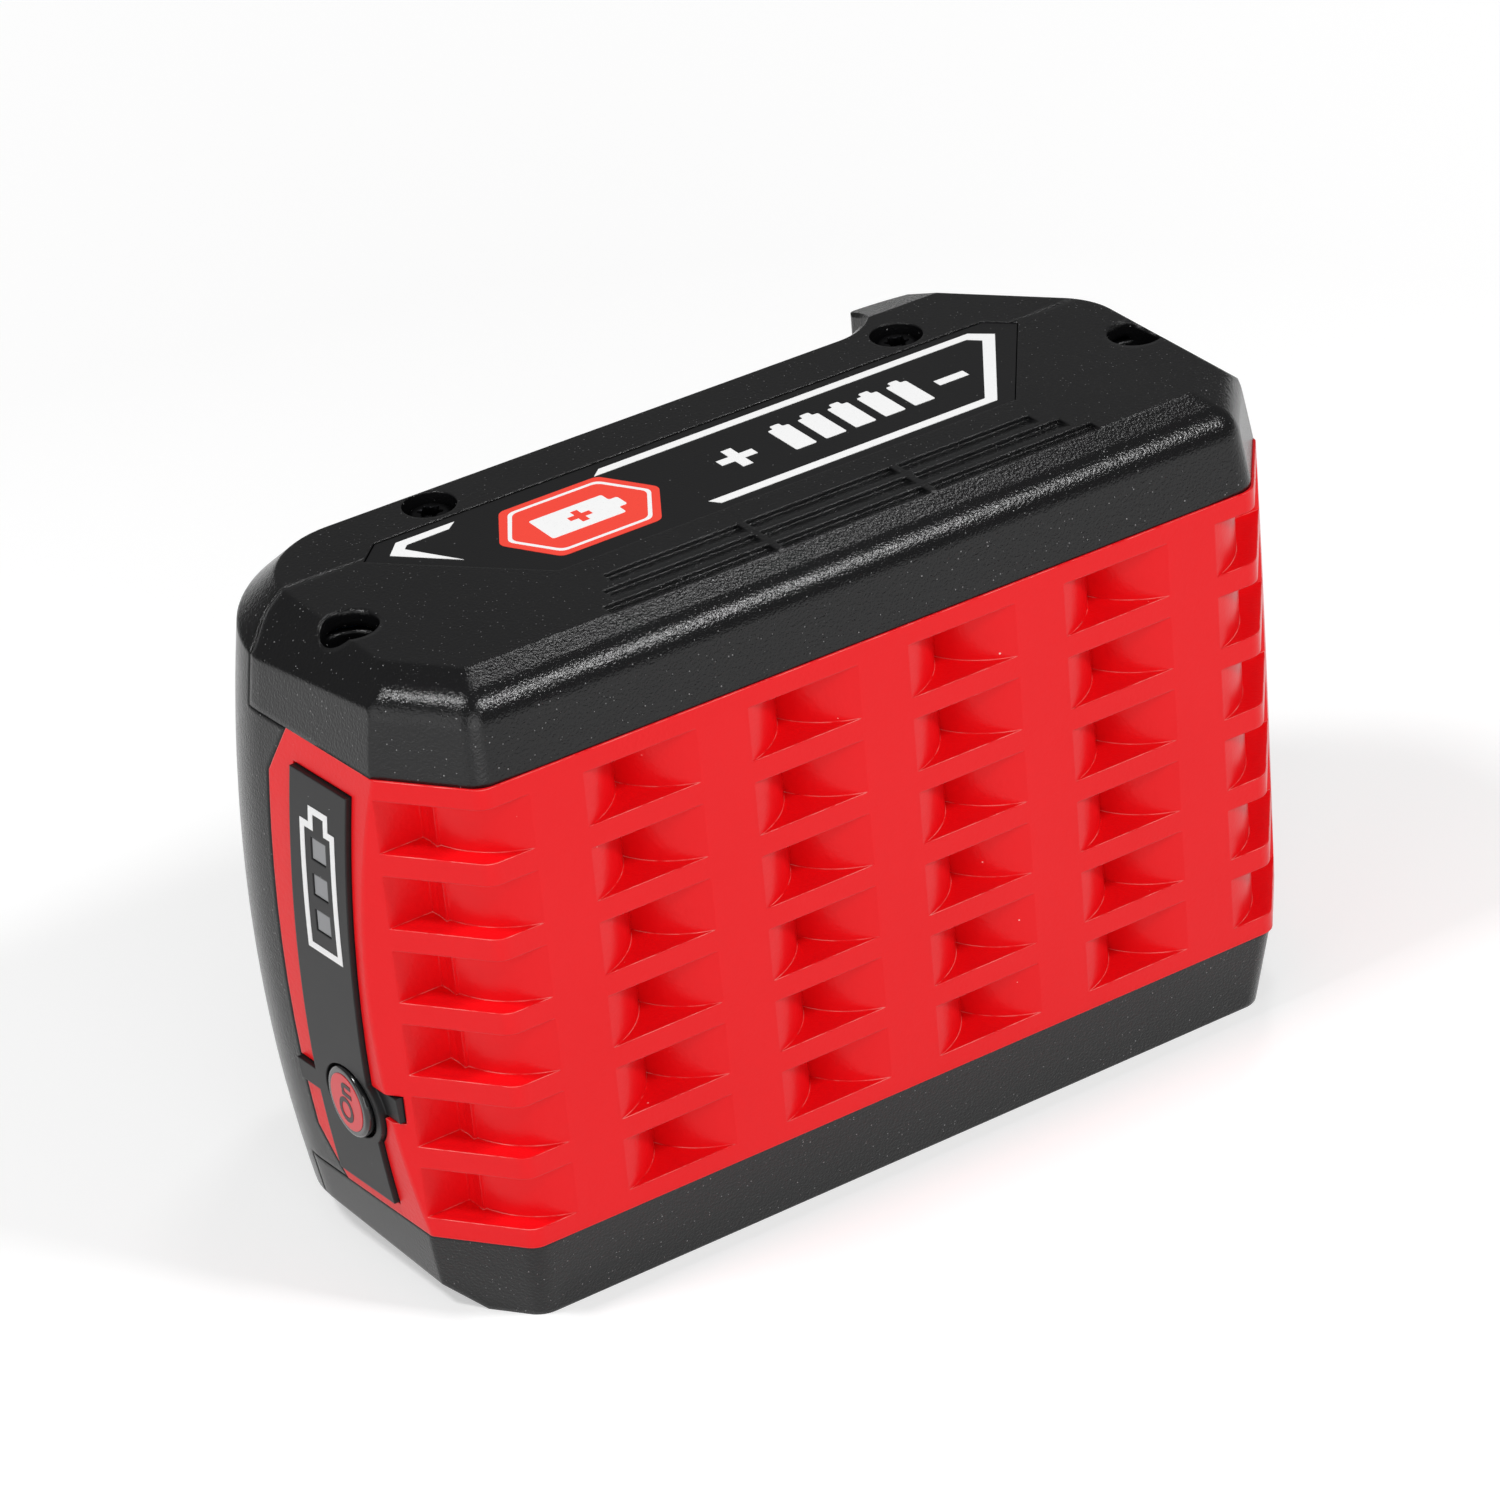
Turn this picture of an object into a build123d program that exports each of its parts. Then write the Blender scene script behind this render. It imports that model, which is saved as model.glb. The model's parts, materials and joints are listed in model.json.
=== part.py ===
"""Slide-on power tool battery pack: two side cheeks, a ribbed cell frame and a rail housing.

The pack stands on one side cheek.  X runs along the slide rail with the gauge end at -X,
-Y is the ribbed base, +Y is the side that meets the tool and Z rises from cheek to cheek.
Depths along Y are written from the outer face of the ribbed base, so a depth of zero
is that face.  All lengths are in millimetres.
"""

import os
from math import cos, radians, sin, sqrt, tan

from build123d import *

# Whole pack
pack_height = 62.8
pack_width = 72.6
frame_height = 53.0
far = 90.0
cheek_height = (pack_width - frame_height) / 2
middle = pack_width / 2
frame_low = cheek_height
frame_high = pack_width - cheek_height
base_y = -pack_height / 2

# Outer form of the moulded shell
end_reach = 54.3
end_lean = 5.14
end_bulge_radius = 180.0
shoulder_depth = 43.4
raised_depth = 47.8
step_x = 28.8
step_corner = 1.0
near_corner = 14.0
raised_corner = 24.0
top_half = 48.8
top_far = 40.8
top_step_x = 30.3
top_turn_depth = 30.8
top_peak_depth = 51.4
top_near_corner = 10.0
top_turn_radius = 8.0
rim_slope = 40.3
rim_depth = 6.0
facet_start = 43.4
facet_slope = 14.0
ledge = 0.25
wall_rise = 8.0
wall_inset = 1.3
slope_inset = 5.8
foot_inset = 1.9
edge_radius = 4.0
slope_blend = 1.0
mitre_radius = 3.0
front_half = 46.1
corner_angle = 51.4
wall = 1.7
core_gap = 0.25
seam_gap = 0.15
skin_overlap = 0.6
touch = 0.02

# Seam between cheek and rail housing, seen from the cheek
seam_flat_half = 36.9
seam_depth = 34.3
seam_side_x = 39.1
seam_side_depth = 32.1
seam_bend_x = 50.8
seam_end_x = 53.6
seam_end_depth = 30.0
seam_blend = 2.2

# Cell frame
frame_depth = 26.5
frame_cut_depth = 23.5
frame_cut_rise = 5.6
frame_corner = 2.2
end_corner = 0.8
cell_pitch = 19.0
columns = 5
front_cell_depth = 12.4
back_cell_depth = front_cell_depth + cell_pitch
bore_radius = 9.25
barrel_radius = 10.4
barrel_depth = 9.96
pocket_back = 9.0
pocket_height = 6.0
rib_thickness = 2.5
pocket_rows = 6
core_half = 48.2
core_front = 6.5
core_margin = 5.3
end_room_depth = 10.8
end_room_margin = 2.0
boss_radius = 3.8
boss_clearance = 0.2
boss_drop = 8.3
pilot_radius = 1.2

# Cells, strips, insulation
cell_radius = 9.15
cell_length = 65.2
cell_chamfer = 0.5
cap_radius = 4.3
cap_height = 0.7
cell_low = middle - cell_length / 2
cell_high = middle + cell_length / 2
strip_thickness = 0.2
strip_half = 3.6
strip_slot_radius = 1.6
sheet_thickness = 0.3
sheet_half = 43.2
sheet_front = 5.6
sheet_back = 36.0
sheet_corner = 6.0
pad_half = 33.0
pad_front = 9.0
pad_back = 31.0

# Screws
end_screw_x = 47.3
end_screw_depth = 21.2
rail_screw_x = 28.5
rail_screw_depth = 37.9
end_well_radius = 3.0
rail_well_radius = 2.85
head_radius = 2.6
head_height = 1.8
head_dish = 0.4
drive_flat = 2.5
drive_depth = 1.2
shank_radius = 1.2
shank_hole_radius = 1.5
end_seat_drop = 6.6
end_shank = 9.2
rail_boss_radius = 3.3
rail_seat_drop = 2.5
rail_boss_drop = 3.1
rail_shank = 8.0
rail_pilot_drop = 13.2

# Label plate and louvres on each cheek
label_recess = 0.5
label_thickness = 0.4
label_gap = 0.12
label_top_half = 36.9
label_top_depth = seam_depth
label_side_half = 39.6
label_side_depth = 31.6
label_base_left = 25.9
label_base_right = 29.0
label_base_depth = 17.1
louvre_drop = 0.55
louvre_pitch = 2.8
louvre_run = 2.5
louvre_depths_start = 5.2
louvre_left = 26.7
louvre_left_step = 1.75
louvre_right = 31.7
louvre_right_step = 1.9
louvre_break_left = 7.0
louvre_break_right = 11.3
louvre_break = 0.8

# Rail tower and release hump
tower_low_x = 40.0
tower_high_x = 30.0
tower_top = 59.7
neck_half = 19.5
flange_half = 24.0
flange_base = 49.5
flange_top = 54.5
crown_half = 17.0
rail_lead = 4.0
crown_edge = 1.2
neck_cavity_half = 17.6
neck_cavity_top = 52.8
crown_cavity_half = crown_half - wall
crown_cavity_top = tower_top - wall
hump_half = 15.0
hump_start = 20.0
hump_flat_end = 37.0
hump_height = 57.2
hump_end = 52.4
hump_end_depth = 45.1
hump_foot = 38.0
hump_edge = 2.0
slot_width = 3.2
slot_end_x = 24.0
slot_floor = 50.0
slot_offsets = (-13.5, -6.0, 0.0, 6.0, 13.5)
well_low_x = 7.6
well_high_x = 26.4
well_half = 7.6
button_low_x = 38.2
button_high_x = 48.2
button_half = 11.0
button_gap = 0.3

# Gauge at the -X end
opening_near = 12.2
opening_far = 22.2
opening_near_low = 13.5
opening_far_low = 23.4
opening_knee = 26.0
opening_low = 11.5
opening_high = 59.8
panel_gap = 0.2
panel_proud = 0.55
panel_back = 1.4
panel_skirt = 1.2
panel_seat_x = 51.6
window_near = 16.1
window_far = 18.6
window_height = 2.45
window_pitch = 4.0
window_low = 42.7
window_gap = 0.1
window_recess = 0.1
guide_front_x = 53.2
guide_near = 14.6
guide_far = 19.6
guide_margin = 1.6
guide_leg_x = 50.75
holder_near = 11.0
holder_far = 25.6
holder_low = 18.5
holder_high = 54.3
holder_back_x = 48.45
holder_aperture_near = 15.2
holder_aperture_far = 19.5
holder_aperture_low = 40.1
holder_aperture_high = 53.5
holder_rim = 0.4
board_front_x = 49.7
board_back_x = 48.7
gauge_board_near = 12.4
gauge_board_far = 24.2
gauge_board_gap = 0.1
led_width = 1.6
led_height = 0.8
test_depth = 17.3
test_z = 23.0
test_radius = 3.9
test_gap = 0.3
test_face_x = 56.4
test_edge = 0.35
test_flange_radius = 4.5
test_flange_x = 52.9
test_flange_thickness = 0.6
test_stem_radius = 1.3
test_stem_x = 51.45
test_pocket_radius = 5.0
test_pocket_x = 50.6
inlay_radius = 3.15
inlay_thickness = 0.7
inlay_proud = 0.05
lobe_radius = 5.0
skirt_low = 28.0
switch_half = 2.2
switch_gap = 0.3
switch_x = 50.8
dome_radius = 1.1
strip_tab_low = 21.4
strip_tab_high = 24.3
notch_low = 23.1
notch_high = 26.4
notch_near = 9.7
notch_far = 13.4
notch_x = 52.4
notch_recess = 0.3

# Contacts and main board
block_low_x = 38.0
block_high_x = 23.0
block_half = 15.2
block_top = 57.4
block_slot = 3.6
block_slot_floor = 45.2
clip_leaf = 0.45
clip_half = 1.45
clip_pinch = 0.65
clip_low_x = 36.0
clip_high_x = 26.5
clip_top = 56.2
clip_waist = 53.4
board_low_x = 37.6
board_high_x = 29.0
board_half = 16.8
board_base = shoulder_depth - wall - core_gap
board_thickness = 1.6
board_top = board_base + board_thickness
clip_knee = 49.6
clip_flare = 0.35
lead_width = 4.0
lead_thickness = strip_thickness
lead_x = 37.4
lead_low_z = 50.2
lead_turn = 2.6
lead_lap = 2.0
channel_x = 34.0
channel_end = 24.0
channel_gap = 0.3
channel_depth = 0.45
chip_sizes = (
    (-16.0, 8.0, 7.0, 7.0, 1.2), (-15.0, -8.0, 10.0, 6.0, 2.4), (-3.0, 9.0, 6.0, 9.5, 2.0),
    (-2.0, -9.0, 5.0, 5.0, 1.0), (10.0, 10.0, 9.0, 6.0, 2.2), (11.0, -9.5, 9.0, 6.0, 2.2),
    (4.0, 0.0, 3.2, 1.6, 0.8), (17.0, 0.0, 3.2, 1.6, 0.8), (20.0, -3.0, 4.0, 2.5, 1.2),
)

# Latch, release button and springs
hook_low_x = 8.0
hook_high_x = 26.0
hook_half = 7.2
hook_ramp_depth = 58.6
hook_ramp_x = 19.0
hook_edge = 0.6
plate_base = 50.0
plate_thickness = 1.8
plate_low_x = 6.0
plate_high_x = 39.0
plate_half = 11.5
button_rise = 0.8
button_thickness = 3.4
flange_lip = 1.0
lip_thickness = 0.9
lip_gap = 0.25
ridge_height = 0.5
ridge_width = 1.0
ridge_count = 4
spring_x = 33.0
spring_offset = 8.0
spring_radius = 2.3
spring_wire = 0.35
spring_turns = 4.0
peg_radius = 1.5
peg_height = 2.0

plan = Plane(origin=(0, base_y, 0), x_dir=(1, 0, 0), z_dir=(0, 0, 1))
front = Plane(origin=(0, base_y, 0), x_dir=(1, 0, 0), z_dir=(0, -1, 0))
side = Plane(origin=(0, base_y, 0), x_dir=(0, 1, 0), z_dir=(1, 0, 0))
mid_plane = Plane.XY.offset(middle)
os.makedirs("parts", exist_ok=True)


def save(piece, name):
    """Label a finished piece and write its file."""
    piece.part.label = name
    export_step(piece.part, f"parts/{name}.step")


def slab(x_span, depth_span, z_span, mode=Mode.ADD):
    """Straight block between three pairs of limits."""
    with BuildSketch(plan.offset(z_span[0])) as base:
        with Locations(((x_span[0] + x_span[1]) / 2, (depth_span[0] + depth_span[1]) / 2)):
            Rectangle(x_span[1] - x_span[0], depth_span[1] - depth_span[0])
    extrude(base.sketch, amount=z_span[1] - z_span[0], mode=mode)


def post(x, depth, radius, z_low, z_high, mode=Mode.ADD):
    """Upright cylinder along Z."""
    with BuildSketch(plan.offset(z_low)) as base:
        with Locations((x, depth)):
            Circle(radius)
    extrude(base.sketch, amount=z_high - z_low, mode=mode)


def stub(depth, z, radius, x_low, x_high, mode=Mode.ADD):
    """Cylinder along X between two stations."""
    with BuildSketch(side.offset(x_low)) as base:
        with Locations((depth, z)):
            Circle(radius)
    extrude(base.sketch, amount=x_high - x_low, mode=mode)


def profile(points, z_low, z_high, mode=Mode.ADD):
    """Prism along Z from an outline in X and depth."""
    with BuildSketch(plan.offset(z_low)) as base:
        Polygon(*points, align=None)
    extrude(base.sketch, amount=z_high - z_low, mode=mode)


def section(points, x_low, x_high, mode=Mode.ADD, grow=0):
    """Prism along X from an outline in depth and Z, grown or drawn in all round."""
    with BuildSketch(side.offset(x_low)) as base:
        Polygon(*points, align=None)
        if grow:
            offset(amount=grow, kind=Kind.INTERSECTION)
    extrude(base.sketch, amount=x_high - x_low, mode=mode)


def drum_ends(inset, length):
    """Both bulged ends, leaning outwards as they rise from the base."""
    lean = radians(end_lean)
    for sign, mode in ((-1, Mode.ADD), (1, Mode.INTERSECT)):
        with BuildSketch(front) as drum:
            with Locations((sign * (end_reach - end_bulge_radius), middle)):
                Circle(end_bulge_radius - inset)
            with Locations((0, middle)):
                Rectangle(2 * far, 2 * pack_width, mode=Mode.INTERSECT)
        extrude(drum.sketch, amount=length, dir=(sign * sin(lean), cos(lean), 0), mode=mode)


def top_plug(inset):
    """Body under the flat top face, whose sides slope outwards as the rim does."""
    run = rim_depth / tan(radians(rim_slope))
    draw_in = inset * tan(radians(rim_slope / 2))
    with BuildPart() as plug:
        with BuildSketch(plan.offset(pack_width - inset - rim_depth)) as outline:
            Polygon(
                (-top_half, -far), (top_half, -far), (top_half, top_turn_depth),
                (top_step_x, top_peak_depth), (top_step_x, top_far), (-top_half, top_far),
                align=None,
            )
            for x, depth, radius in (
                (-top_half, top_far, top_near_corner), (top_half, top_turn_depth, top_turn_radius),
            ):
                corner = outline.sketch_local.vertices().filter_by(
                    lambda v: abs(v.X - x) < touch and abs(v.Y - depth) < touch
                )
                fillet(corner, radius=radius)
            offset(amount=run - draw_in, kind=Kind.INTERSECTION)
        extrude(amount=rim_depth, taper=90 - rim_slope)
        slab((-far, far), (-far, far), (middle, pack_width - inset - rim_depth))
    return plug.part


def pack_form(inset):
    """Outer form of the closed pack, or the same form drawn in by a wall."""
    upper_plug = top_plug(inset)
    with BuildPart() as plugs:
        add(upper_plug)
        mirror(upper_plug, about=mid_plane)
    with BuildPart() as form:
        drum_ends(inset, 2 * raised_depth)
        with BuildSketch(plan):
            Polygon(
                (-far, 0), (far, 0), (far, raised_depth), (step_x, raised_depth),
                (step_x, shoulder_depth), (-far, shoulder_depth), align=None,
            )
            if inset:
                offset(amount=-inset, kind=Kind.INTERSECTION)
        extrude(amount=pack_width, mode=Mode.INTERSECT)

        def upright(x, depth, reach):
            """Edges along Z that stand within a reach of one place in plan."""
            return form.edges().filter_by(
                lambda e: abs(e.center().Y - base_y - depth + inset) < reach / 10
                and abs(e.center().X - x) < reach
                and e.bounding_box().size.Z > pack_width / 2
            )

        fillet(upright(-end_reach, shoulder_depth, seam_end_x - core_half), radius=near_corner - inset)
        fillet(upright(end_reach, raised_depth, seam_end_x - core_half), radius=raised_corner - inset)
        if not inset:
            fillet(upright(step_x, raised_depth, ledge), radius=step_corner)

        drop = far * tan(radians(facet_slope))
        facet = [
            (-far, 0), (facet_start, 0), (facet_start + far, drop),
            (facet_start + far, pack_width - drop), (facet_start, pack_width), (-far, pack_width),
        ]
        section(facet, -far, far, Mode.INTERSECT, -inset)
        add(plugs.part, mode=Mode.INTERSECT)

        for x, angle in ((0, 0), (front_half, corner_angle), (-front_half, -corner_angle)):
            turn = radians(angle)
            across = Plane(
                origin=(x, base_y, 0),
                x_dir=(-sin(turn), cos(turn), 0),
                z_dir=(cos(turn), sin(turn), 0),
            )
            with BuildSketch(across) as skirt:
                Polygon(
                    (ledge, cheek_height), (ledge + foot_inset, 0), (2 * far, 0),
                    (2 * far, pack_width), (ledge + slope_inset, pack_width),
                    (ledge + wall_inset, pack_width - cheek_height + wall_rise),
                    (ledge, pack_width - cheek_height), align=None,
                )
                if inset:
                    offset(amount=-inset, kind=Kind.INTERSECTION)
                else:
                    for start, radius in ((wall_inset, edge_radius), (slope_inset, slope_blend)):
                        bends = skirt.sketch_local.vertices().filter_by(
                            lambda v: abs(v.X - ledge - start) < touch
                        )
                        fillet(bends, radius=radius)
            extrude(amount=2 * far, both=True, mode=Mode.INTERSECT)
        if not inset:
            mitres = form.edges().filter_by(
                lambda e: abs(abs(e.center().X) - front_half) < wall
                and e.center().Y < base_y + mitre_radius
            )
            fillet(mitres, radius=mitre_radius)
    return form.part


def cheek_region(grow, z_low, z_high, mode):
    """Prism over the plan area of a cheek, bounded by the seam line."""
    with BuildSketch(plan.offset(z_low)) as region:
        Polygon(
            (-far, -wall), (far, -wall), (far, seam_end_depth), (seam_end_x, seam_end_depth),
            (seam_bend_x, seam_side_depth), (seam_side_x, seam_side_depth),
            (seam_flat_half, seam_depth), (-seam_flat_half, seam_depth),
            (-seam_side_x, seam_side_depth), (-seam_bend_x, seam_side_depth),
            (-seam_end_x, seam_end_depth), (-far, seam_end_depth), align=None,
        )
        bends = region.sketch_local.vertices().filter_by(
            lambda v: seam_bend_x - touch < abs(v.X) < seam_end_x + touch
        )
        fillet(bends, radius=seam_blend)
        if grow:
            offset(amount=grow, kind=Kind.INTERSECTION)
    extrude(region.sketch, amount=z_high - z_low, mode=mode)


outer_form = pack_form(0)
inner_form = pack_form(wall)
core_form = pack_form(wall + core_gap)
column_xs = [cell_pitch * (number - (columns - 1) / 2) for number in range(columns)]
cell_places = [(x, depth) for depth in (front_cell_depth, back_cell_depth) for x in column_xs]
opening_outline = [
    (opening_near, opening_high), (opening_far, opening_high), (opening_far_low, opening_knee),
    (opening_far_low, opening_low), (opening_near_low, opening_low),
    (opening_near_low, opening_knee),
]
end_screws = [(-end_screw_x, end_screw_depth), (end_screw_x, end_screw_depth)]
rail_screws = [(-rail_screw_x, rail_screw_depth), (rail_screw_x, rail_screw_depth)]

# Cheeks: shells with a label recess, louvres and two screw columns
label_outline = [
    (-label_top_half, label_top_depth), (label_top_half, label_top_depth),
    (label_side_half, label_side_depth), (label_base_right, label_base_depth),
    (-label_base_left, label_base_depth), (-label_side_half, label_side_depth),
]


def cheek(outer, inner):
    """Upper cheek cut from an outer and an inner form."""
    with BuildPart() as shell:
        add(outer)
        cheek_region(0, frame_high, pack_width, Mode.INTERSECT)
        add(inner, mode=Mode.SUBTRACT)
        for x, depth in end_screws:
            post(x, depth, boss_radius, frame_high, pack_width - wall - skin_overlap)
        for x, depth in cell_places:
            if abs(x) + cell_pitch > core_half:
                post(
                    x, depth, bore_radius, frame_high, cell_high + strip_thickness + sheet_thickness,
                    Mode.SUBTRACT,
                )
        for x, depth in end_screws:
            post(x, depth, end_well_radius, pack_width - end_seat_drop, pack_width, Mode.SUBTRACT)
            post(x, depth, shank_hole_radius, frame_high, pack_width, Mode.SUBTRACT)
        with BuildSketch(plan.offset(pack_width - label_recess)):
            Polygon(*label_outline, align=None)
            offset(amount=label_gap, kind=Kind.INTERSECTION)
        extrude(amount=label_recess, mode=Mode.SUBTRACT)
        for row in range(3):
            depth = louvre_depths_start + row * louvre_pitch
            left = -louvre_left + row * louvre_left_step
            right = louvre_right - row * louvre_right_step
            half = louvre_break / 2
            stations = (
                (left, -louvre_break_left - half),
                (-louvre_break_left + half, louvre_break_right - half),
                (louvre_break_right + half, right),
            )
            for start, stop in stations:
                groove = [
                    (depth, pack_width + label_gap), (depth + louvre_run, pack_width - louvre_drop),
                    (depth + louvre_run, pack_width + label_gap),
                ]
                section(groove, start, stop, Mode.SUBTRACT)
    return shell.part


with BuildPart() as upper_cheek:
    add(cheek(outer_form, inner_form))
save(upper_cheek, "upper_cheek")

turned_cheek = cheek(mirror(outer_form, about=mid_plane), mirror(inner_form, about=mid_plane))
with BuildPart() as lower_cheek:
    mirror(turned_cheek, about=mid_plane)
save(lower_cheek, "lower_cheek")

# Cell frame: barrels and ribs outside, bored core inside
with BuildPart() as end_rooms:
    add(inner_form)
    slab(
        (-far, far), (end_room_depth, far), (frame_low + end_room_margin, frame_high - end_room_margin),
        Mode.INTERSECT,
    )
    slab((-core_half, core_half), (0, far), (0, pack_width), Mode.SUBTRACT)

with BuildPart() as core_block:
    add(core_form)
    slab(
        (-core_half, core_half), (core_front, shoulder_depth - wall - core_gap),
        (core_margin, pack_width - core_margin), Mode.INTERSECT,
    )

with BuildPart() as cell_frame:
    drum_ends(0, 2 * frame_depth)
    corner_run = (end_reach + wall - front_half) / cos(radians(corner_angle)) * sin(radians(corner_angle))
    with BuildSketch(plan.offset(frame_low)) as outline:
        Polygon(
            (-front_half, 0), (front_half, 0), (end_reach + wall, corner_run),
            (far, corner_run), (far, frame_depth), (-far, frame_depth), (-far, corner_run),
            (-end_reach - wall, corner_run), align=None,
        )
        fillet(
            outline.sketch_local.vertices().filter_by(lambda v: abs(v.Y) < touch),
            radius=frame_corner,
        )
    extrude(amount=frame_height, mode=Mode.INTERSECT)
    fillet(
        cell_frame.edges().filter_by(
            lambda e: e.bounding_box().size.Z > frame_height - touch
            and abs(e.center().Y - base_y - pocket_back) < wall + wall
            and abs(e.center().X) > front_half + wall
        ),
        radius=end_corner,
    )
    for z, level in ((frame_low, 1), (frame_high, -1)):
        shear = [
            (frame_cut_depth, z), (frame_depth, z + level * frame_cut_rise),
            (frame_depth + wall, z + level * frame_cut_rise), (frame_depth + wall, z - level * wall),
            (frame_cut_depth, z - level * wall),
        ]
        section(shear, -far, far, Mode.SUBTRACT)

    margin = (frame_height - pocket_rows * pocket_height - (pocket_rows - 1) * rib_thickness) / 2
    for row in range(pocket_rows):
        with BuildSketch(plan.offset(frame_low + margin + row * (pocket_height + rib_thickness))):
            with Locations((0, 0)):
                Rectangle(2 * far, 2 * pocket_back)
            for x in column_xs:
                with Locations((x, barrel_depth)):
                    Circle(barrel_radius, mode=Mode.SUBTRACT)
        extrude(amount=pocket_height, mode=Mode.SUBTRACT)

    add(end_rooms.part, mode=Mode.SUBTRACT)
    add(core_block.part)
    for x, depth in end_screws:
        for foot, top in (
            (frame_low, frame_low + boss_drop),
            (frame_high - boss_drop, frame_high),
        ):
            post(x, depth, boss_radius, foot, top)
            post(x, depth, pilot_radius, foot, top, Mode.SUBTRACT)
        for foot, top in ((0, frame_low), (frame_high, pack_width)):
            post(x, depth, boss_radius + boss_clearance, foot, top, Mode.SUBTRACT)
    for x, depth in rail_screws:
        post(x, depth, pilot_radius, 0, rail_pilot_drop, Mode.SUBTRACT)
        post(x, depth, pilot_radius, pack_width - rail_pilot_drop, pack_width, Mode.SUBTRACT)
    for x, depth in cell_places:
        post(x, depth, bore_radius, 0, pack_width, Mode.SUBTRACT)
    section(opening_outline, -far, -core_half, Mode.SUBTRACT)
    stub(test_depth, test_z, lobe_radius + panel_gap, -far, -core_half, Mode.SUBTRACT)
    slab(
        (-far, -core_half), (test_depth, frame_depth + wall), (strip_tab_low, strip_tab_high),
        Mode.SUBTRACT,
    )
    slab((-far, -notch_x), (notch_near, notch_far), (notch_low, notch_high), Mode.SUBTRACT)
    slab(
        (-channel_x - lead_width / 2 - channel_gap, -channel_x + lead_width / 2 + channel_gap),
        (board_base - channel_depth, shoulder_depth), (0, channel_end + channel_gap), Mode.SUBTRACT,
    )
    for offset_z in (-spring_offset, spring_offset):
        with BuildSketch(front.offset(-(shoulder_depth - wall - core_gap))):
            with Locations((spring_x, middle + offset_z)):
                Circle(peg_radius)
        extrude(amount=-peg_height)
save(cell_frame, "cell_frame")

# Rail housing: shell with the rail tower and the release hump
slope_rate = (hump_height - hump_end_depth) / (hump_end - hump_flat_end)
slope_length = sqrt(1 + slope_rate * slope_rate)


def slope_depth(x, rise):
    """Depth of a line parallel to the sloping face of the hump."""
    return hump_height - (x - hump_flat_end) * slope_rate + rise * slope_length


hump_outline = [
    (hump_start, hump_foot), (hump_start, hump_height), (hump_flat_end, hump_height),
    (hump_end, hump_end_depth), (hump_end, hump_foot),
]
with BuildPart() as hump_room:
    with BuildSketch(plan.offset(middle - hump_half + wall)) as hump_inside:
        Polygon(*hump_outline, align=None)
        offset(amount=-wall, kind=Kind.INTERSECTION)
    extrude(amount=2 * (hump_half - wall))

with BuildPart() as rail_columns:
    for x, depth in rail_screws:
        post(x, depth, rail_boss_radius, 0, pack_width)
        post(x, depth, boss_radius, rail_boss_drop, pack_width - rail_boss_drop, Mode.SUBTRACT)
    add(outer_form, mode=Mode.INTERSECT)

with BuildPart() as interface_housing:
    rail_profile = [
        (shoulder_depth - wall, middle - neck_half), (flange_base, middle - neck_half),
        (flange_base, middle - flange_half), (flange_top, middle - flange_half),
        (flange_top, middle - crown_half), (tower_top, middle - crown_half),
        (tower_top, middle + crown_half), (flange_top, middle + crown_half),
        (flange_top, middle + flange_half), (flange_base, middle + flange_half),
        (flange_base, middle + neck_half), (shoulder_depth - wall, middle + neck_half),
    ]
    section(rail_profile, -tower_low_x, tower_high_x)
    leads = interface_housing.edges().filter_by(
        lambda e: abs(e.center().X + tower_low_x) < touch
        and abs(abs(e.center().Z - middle) - flange_half) < touch
    )
    chamfer(leads, length=rail_lead)
    crown_edges = interface_housing.edges().filter_by(
        lambda e: abs(e.center().Y - base_y - tower_top) < touch
    )
    fillet(crown_edges, radius=crown_edge)
    profile(hump_outline, middle - hump_half, middle + hump_half)
    hump_edges = interface_housing.edges().filter_by(
        lambda e: e.center().X > tower_high_x + touch
        and e.center().Y > base_y + hump_end_depth - touch
    )
    fillet(hump_edges, radius=hump_edge)
    add(outer_form)
    add(inner_form, mode=Mode.SUBTRACT)
    slab(
        (-tower_low_x + wall, tower_high_x + wall), (shoulder_depth - 2 * wall, neck_cavity_top),
        (middle - neck_cavity_half, middle + neck_cavity_half), Mode.SUBTRACT,
    )
    slab(
        (-tower_low_x + wall, tower_high_x - wall), (neck_cavity_top - wall, crown_cavity_top),
        (middle - crown_cavity_half, middle + crown_cavity_half), Mode.SUBTRACT,
    )
    add(hump_room.part, mode=Mode.SUBTRACT)
    frame_zone = [
        (-wall, frame_low + seam_gap), (frame_cut_depth + seam_gap, frame_low + seam_gap),
        (frame_depth + seam_gap, frame_low + frame_cut_rise),
        (frame_depth + seam_gap, frame_high - frame_cut_rise),
        (frame_cut_depth + seam_gap, frame_high - seam_gap), (-wall, frame_high - seam_gap),
    ]
    section(frame_zone, -far, far, Mode.SUBTRACT)
    cheek_region(seam_gap, frame_high - seam_gap, pack_width + wall, Mode.SUBTRACT)
    cheek_region(seam_gap, -wall, frame_low + seam_gap, Mode.SUBTRACT)
    add(rail_columns.part)
    for x, depth in rail_screws:
        post(x, depth, rail_well_radius, -wall, rail_seat_drop, Mode.SUBTRACT)
        post(x, depth, shank_hole_radius, 0, pack_width, Mode.SUBTRACT)
        post(
            x, depth, rail_well_radius, pack_width - rail_seat_drop, pack_width + wall, Mode.SUBTRACT,
        )
    for slot in slot_offsets:
        slab(
            (-far, -slot_end_x), (slot_floor, far),
            (middle + slot - slot_width / 2, middle + slot + slot_width / 2), Mode.SUBTRACT,
        )
    slab(
        (well_low_x, well_high_x), (plate_base, far), (middle - well_half, middle + well_half),
        Mode.SUBTRACT,
    )
    slab(
        (button_low_x - button_gap, button_high_x + button_gap), (hump_end_depth - wall, far),
        (middle - button_half - button_gap, middle + button_half + button_gap), Mode.SUBTRACT,
    )
save(interface_housing, "interface_housing")

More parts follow.
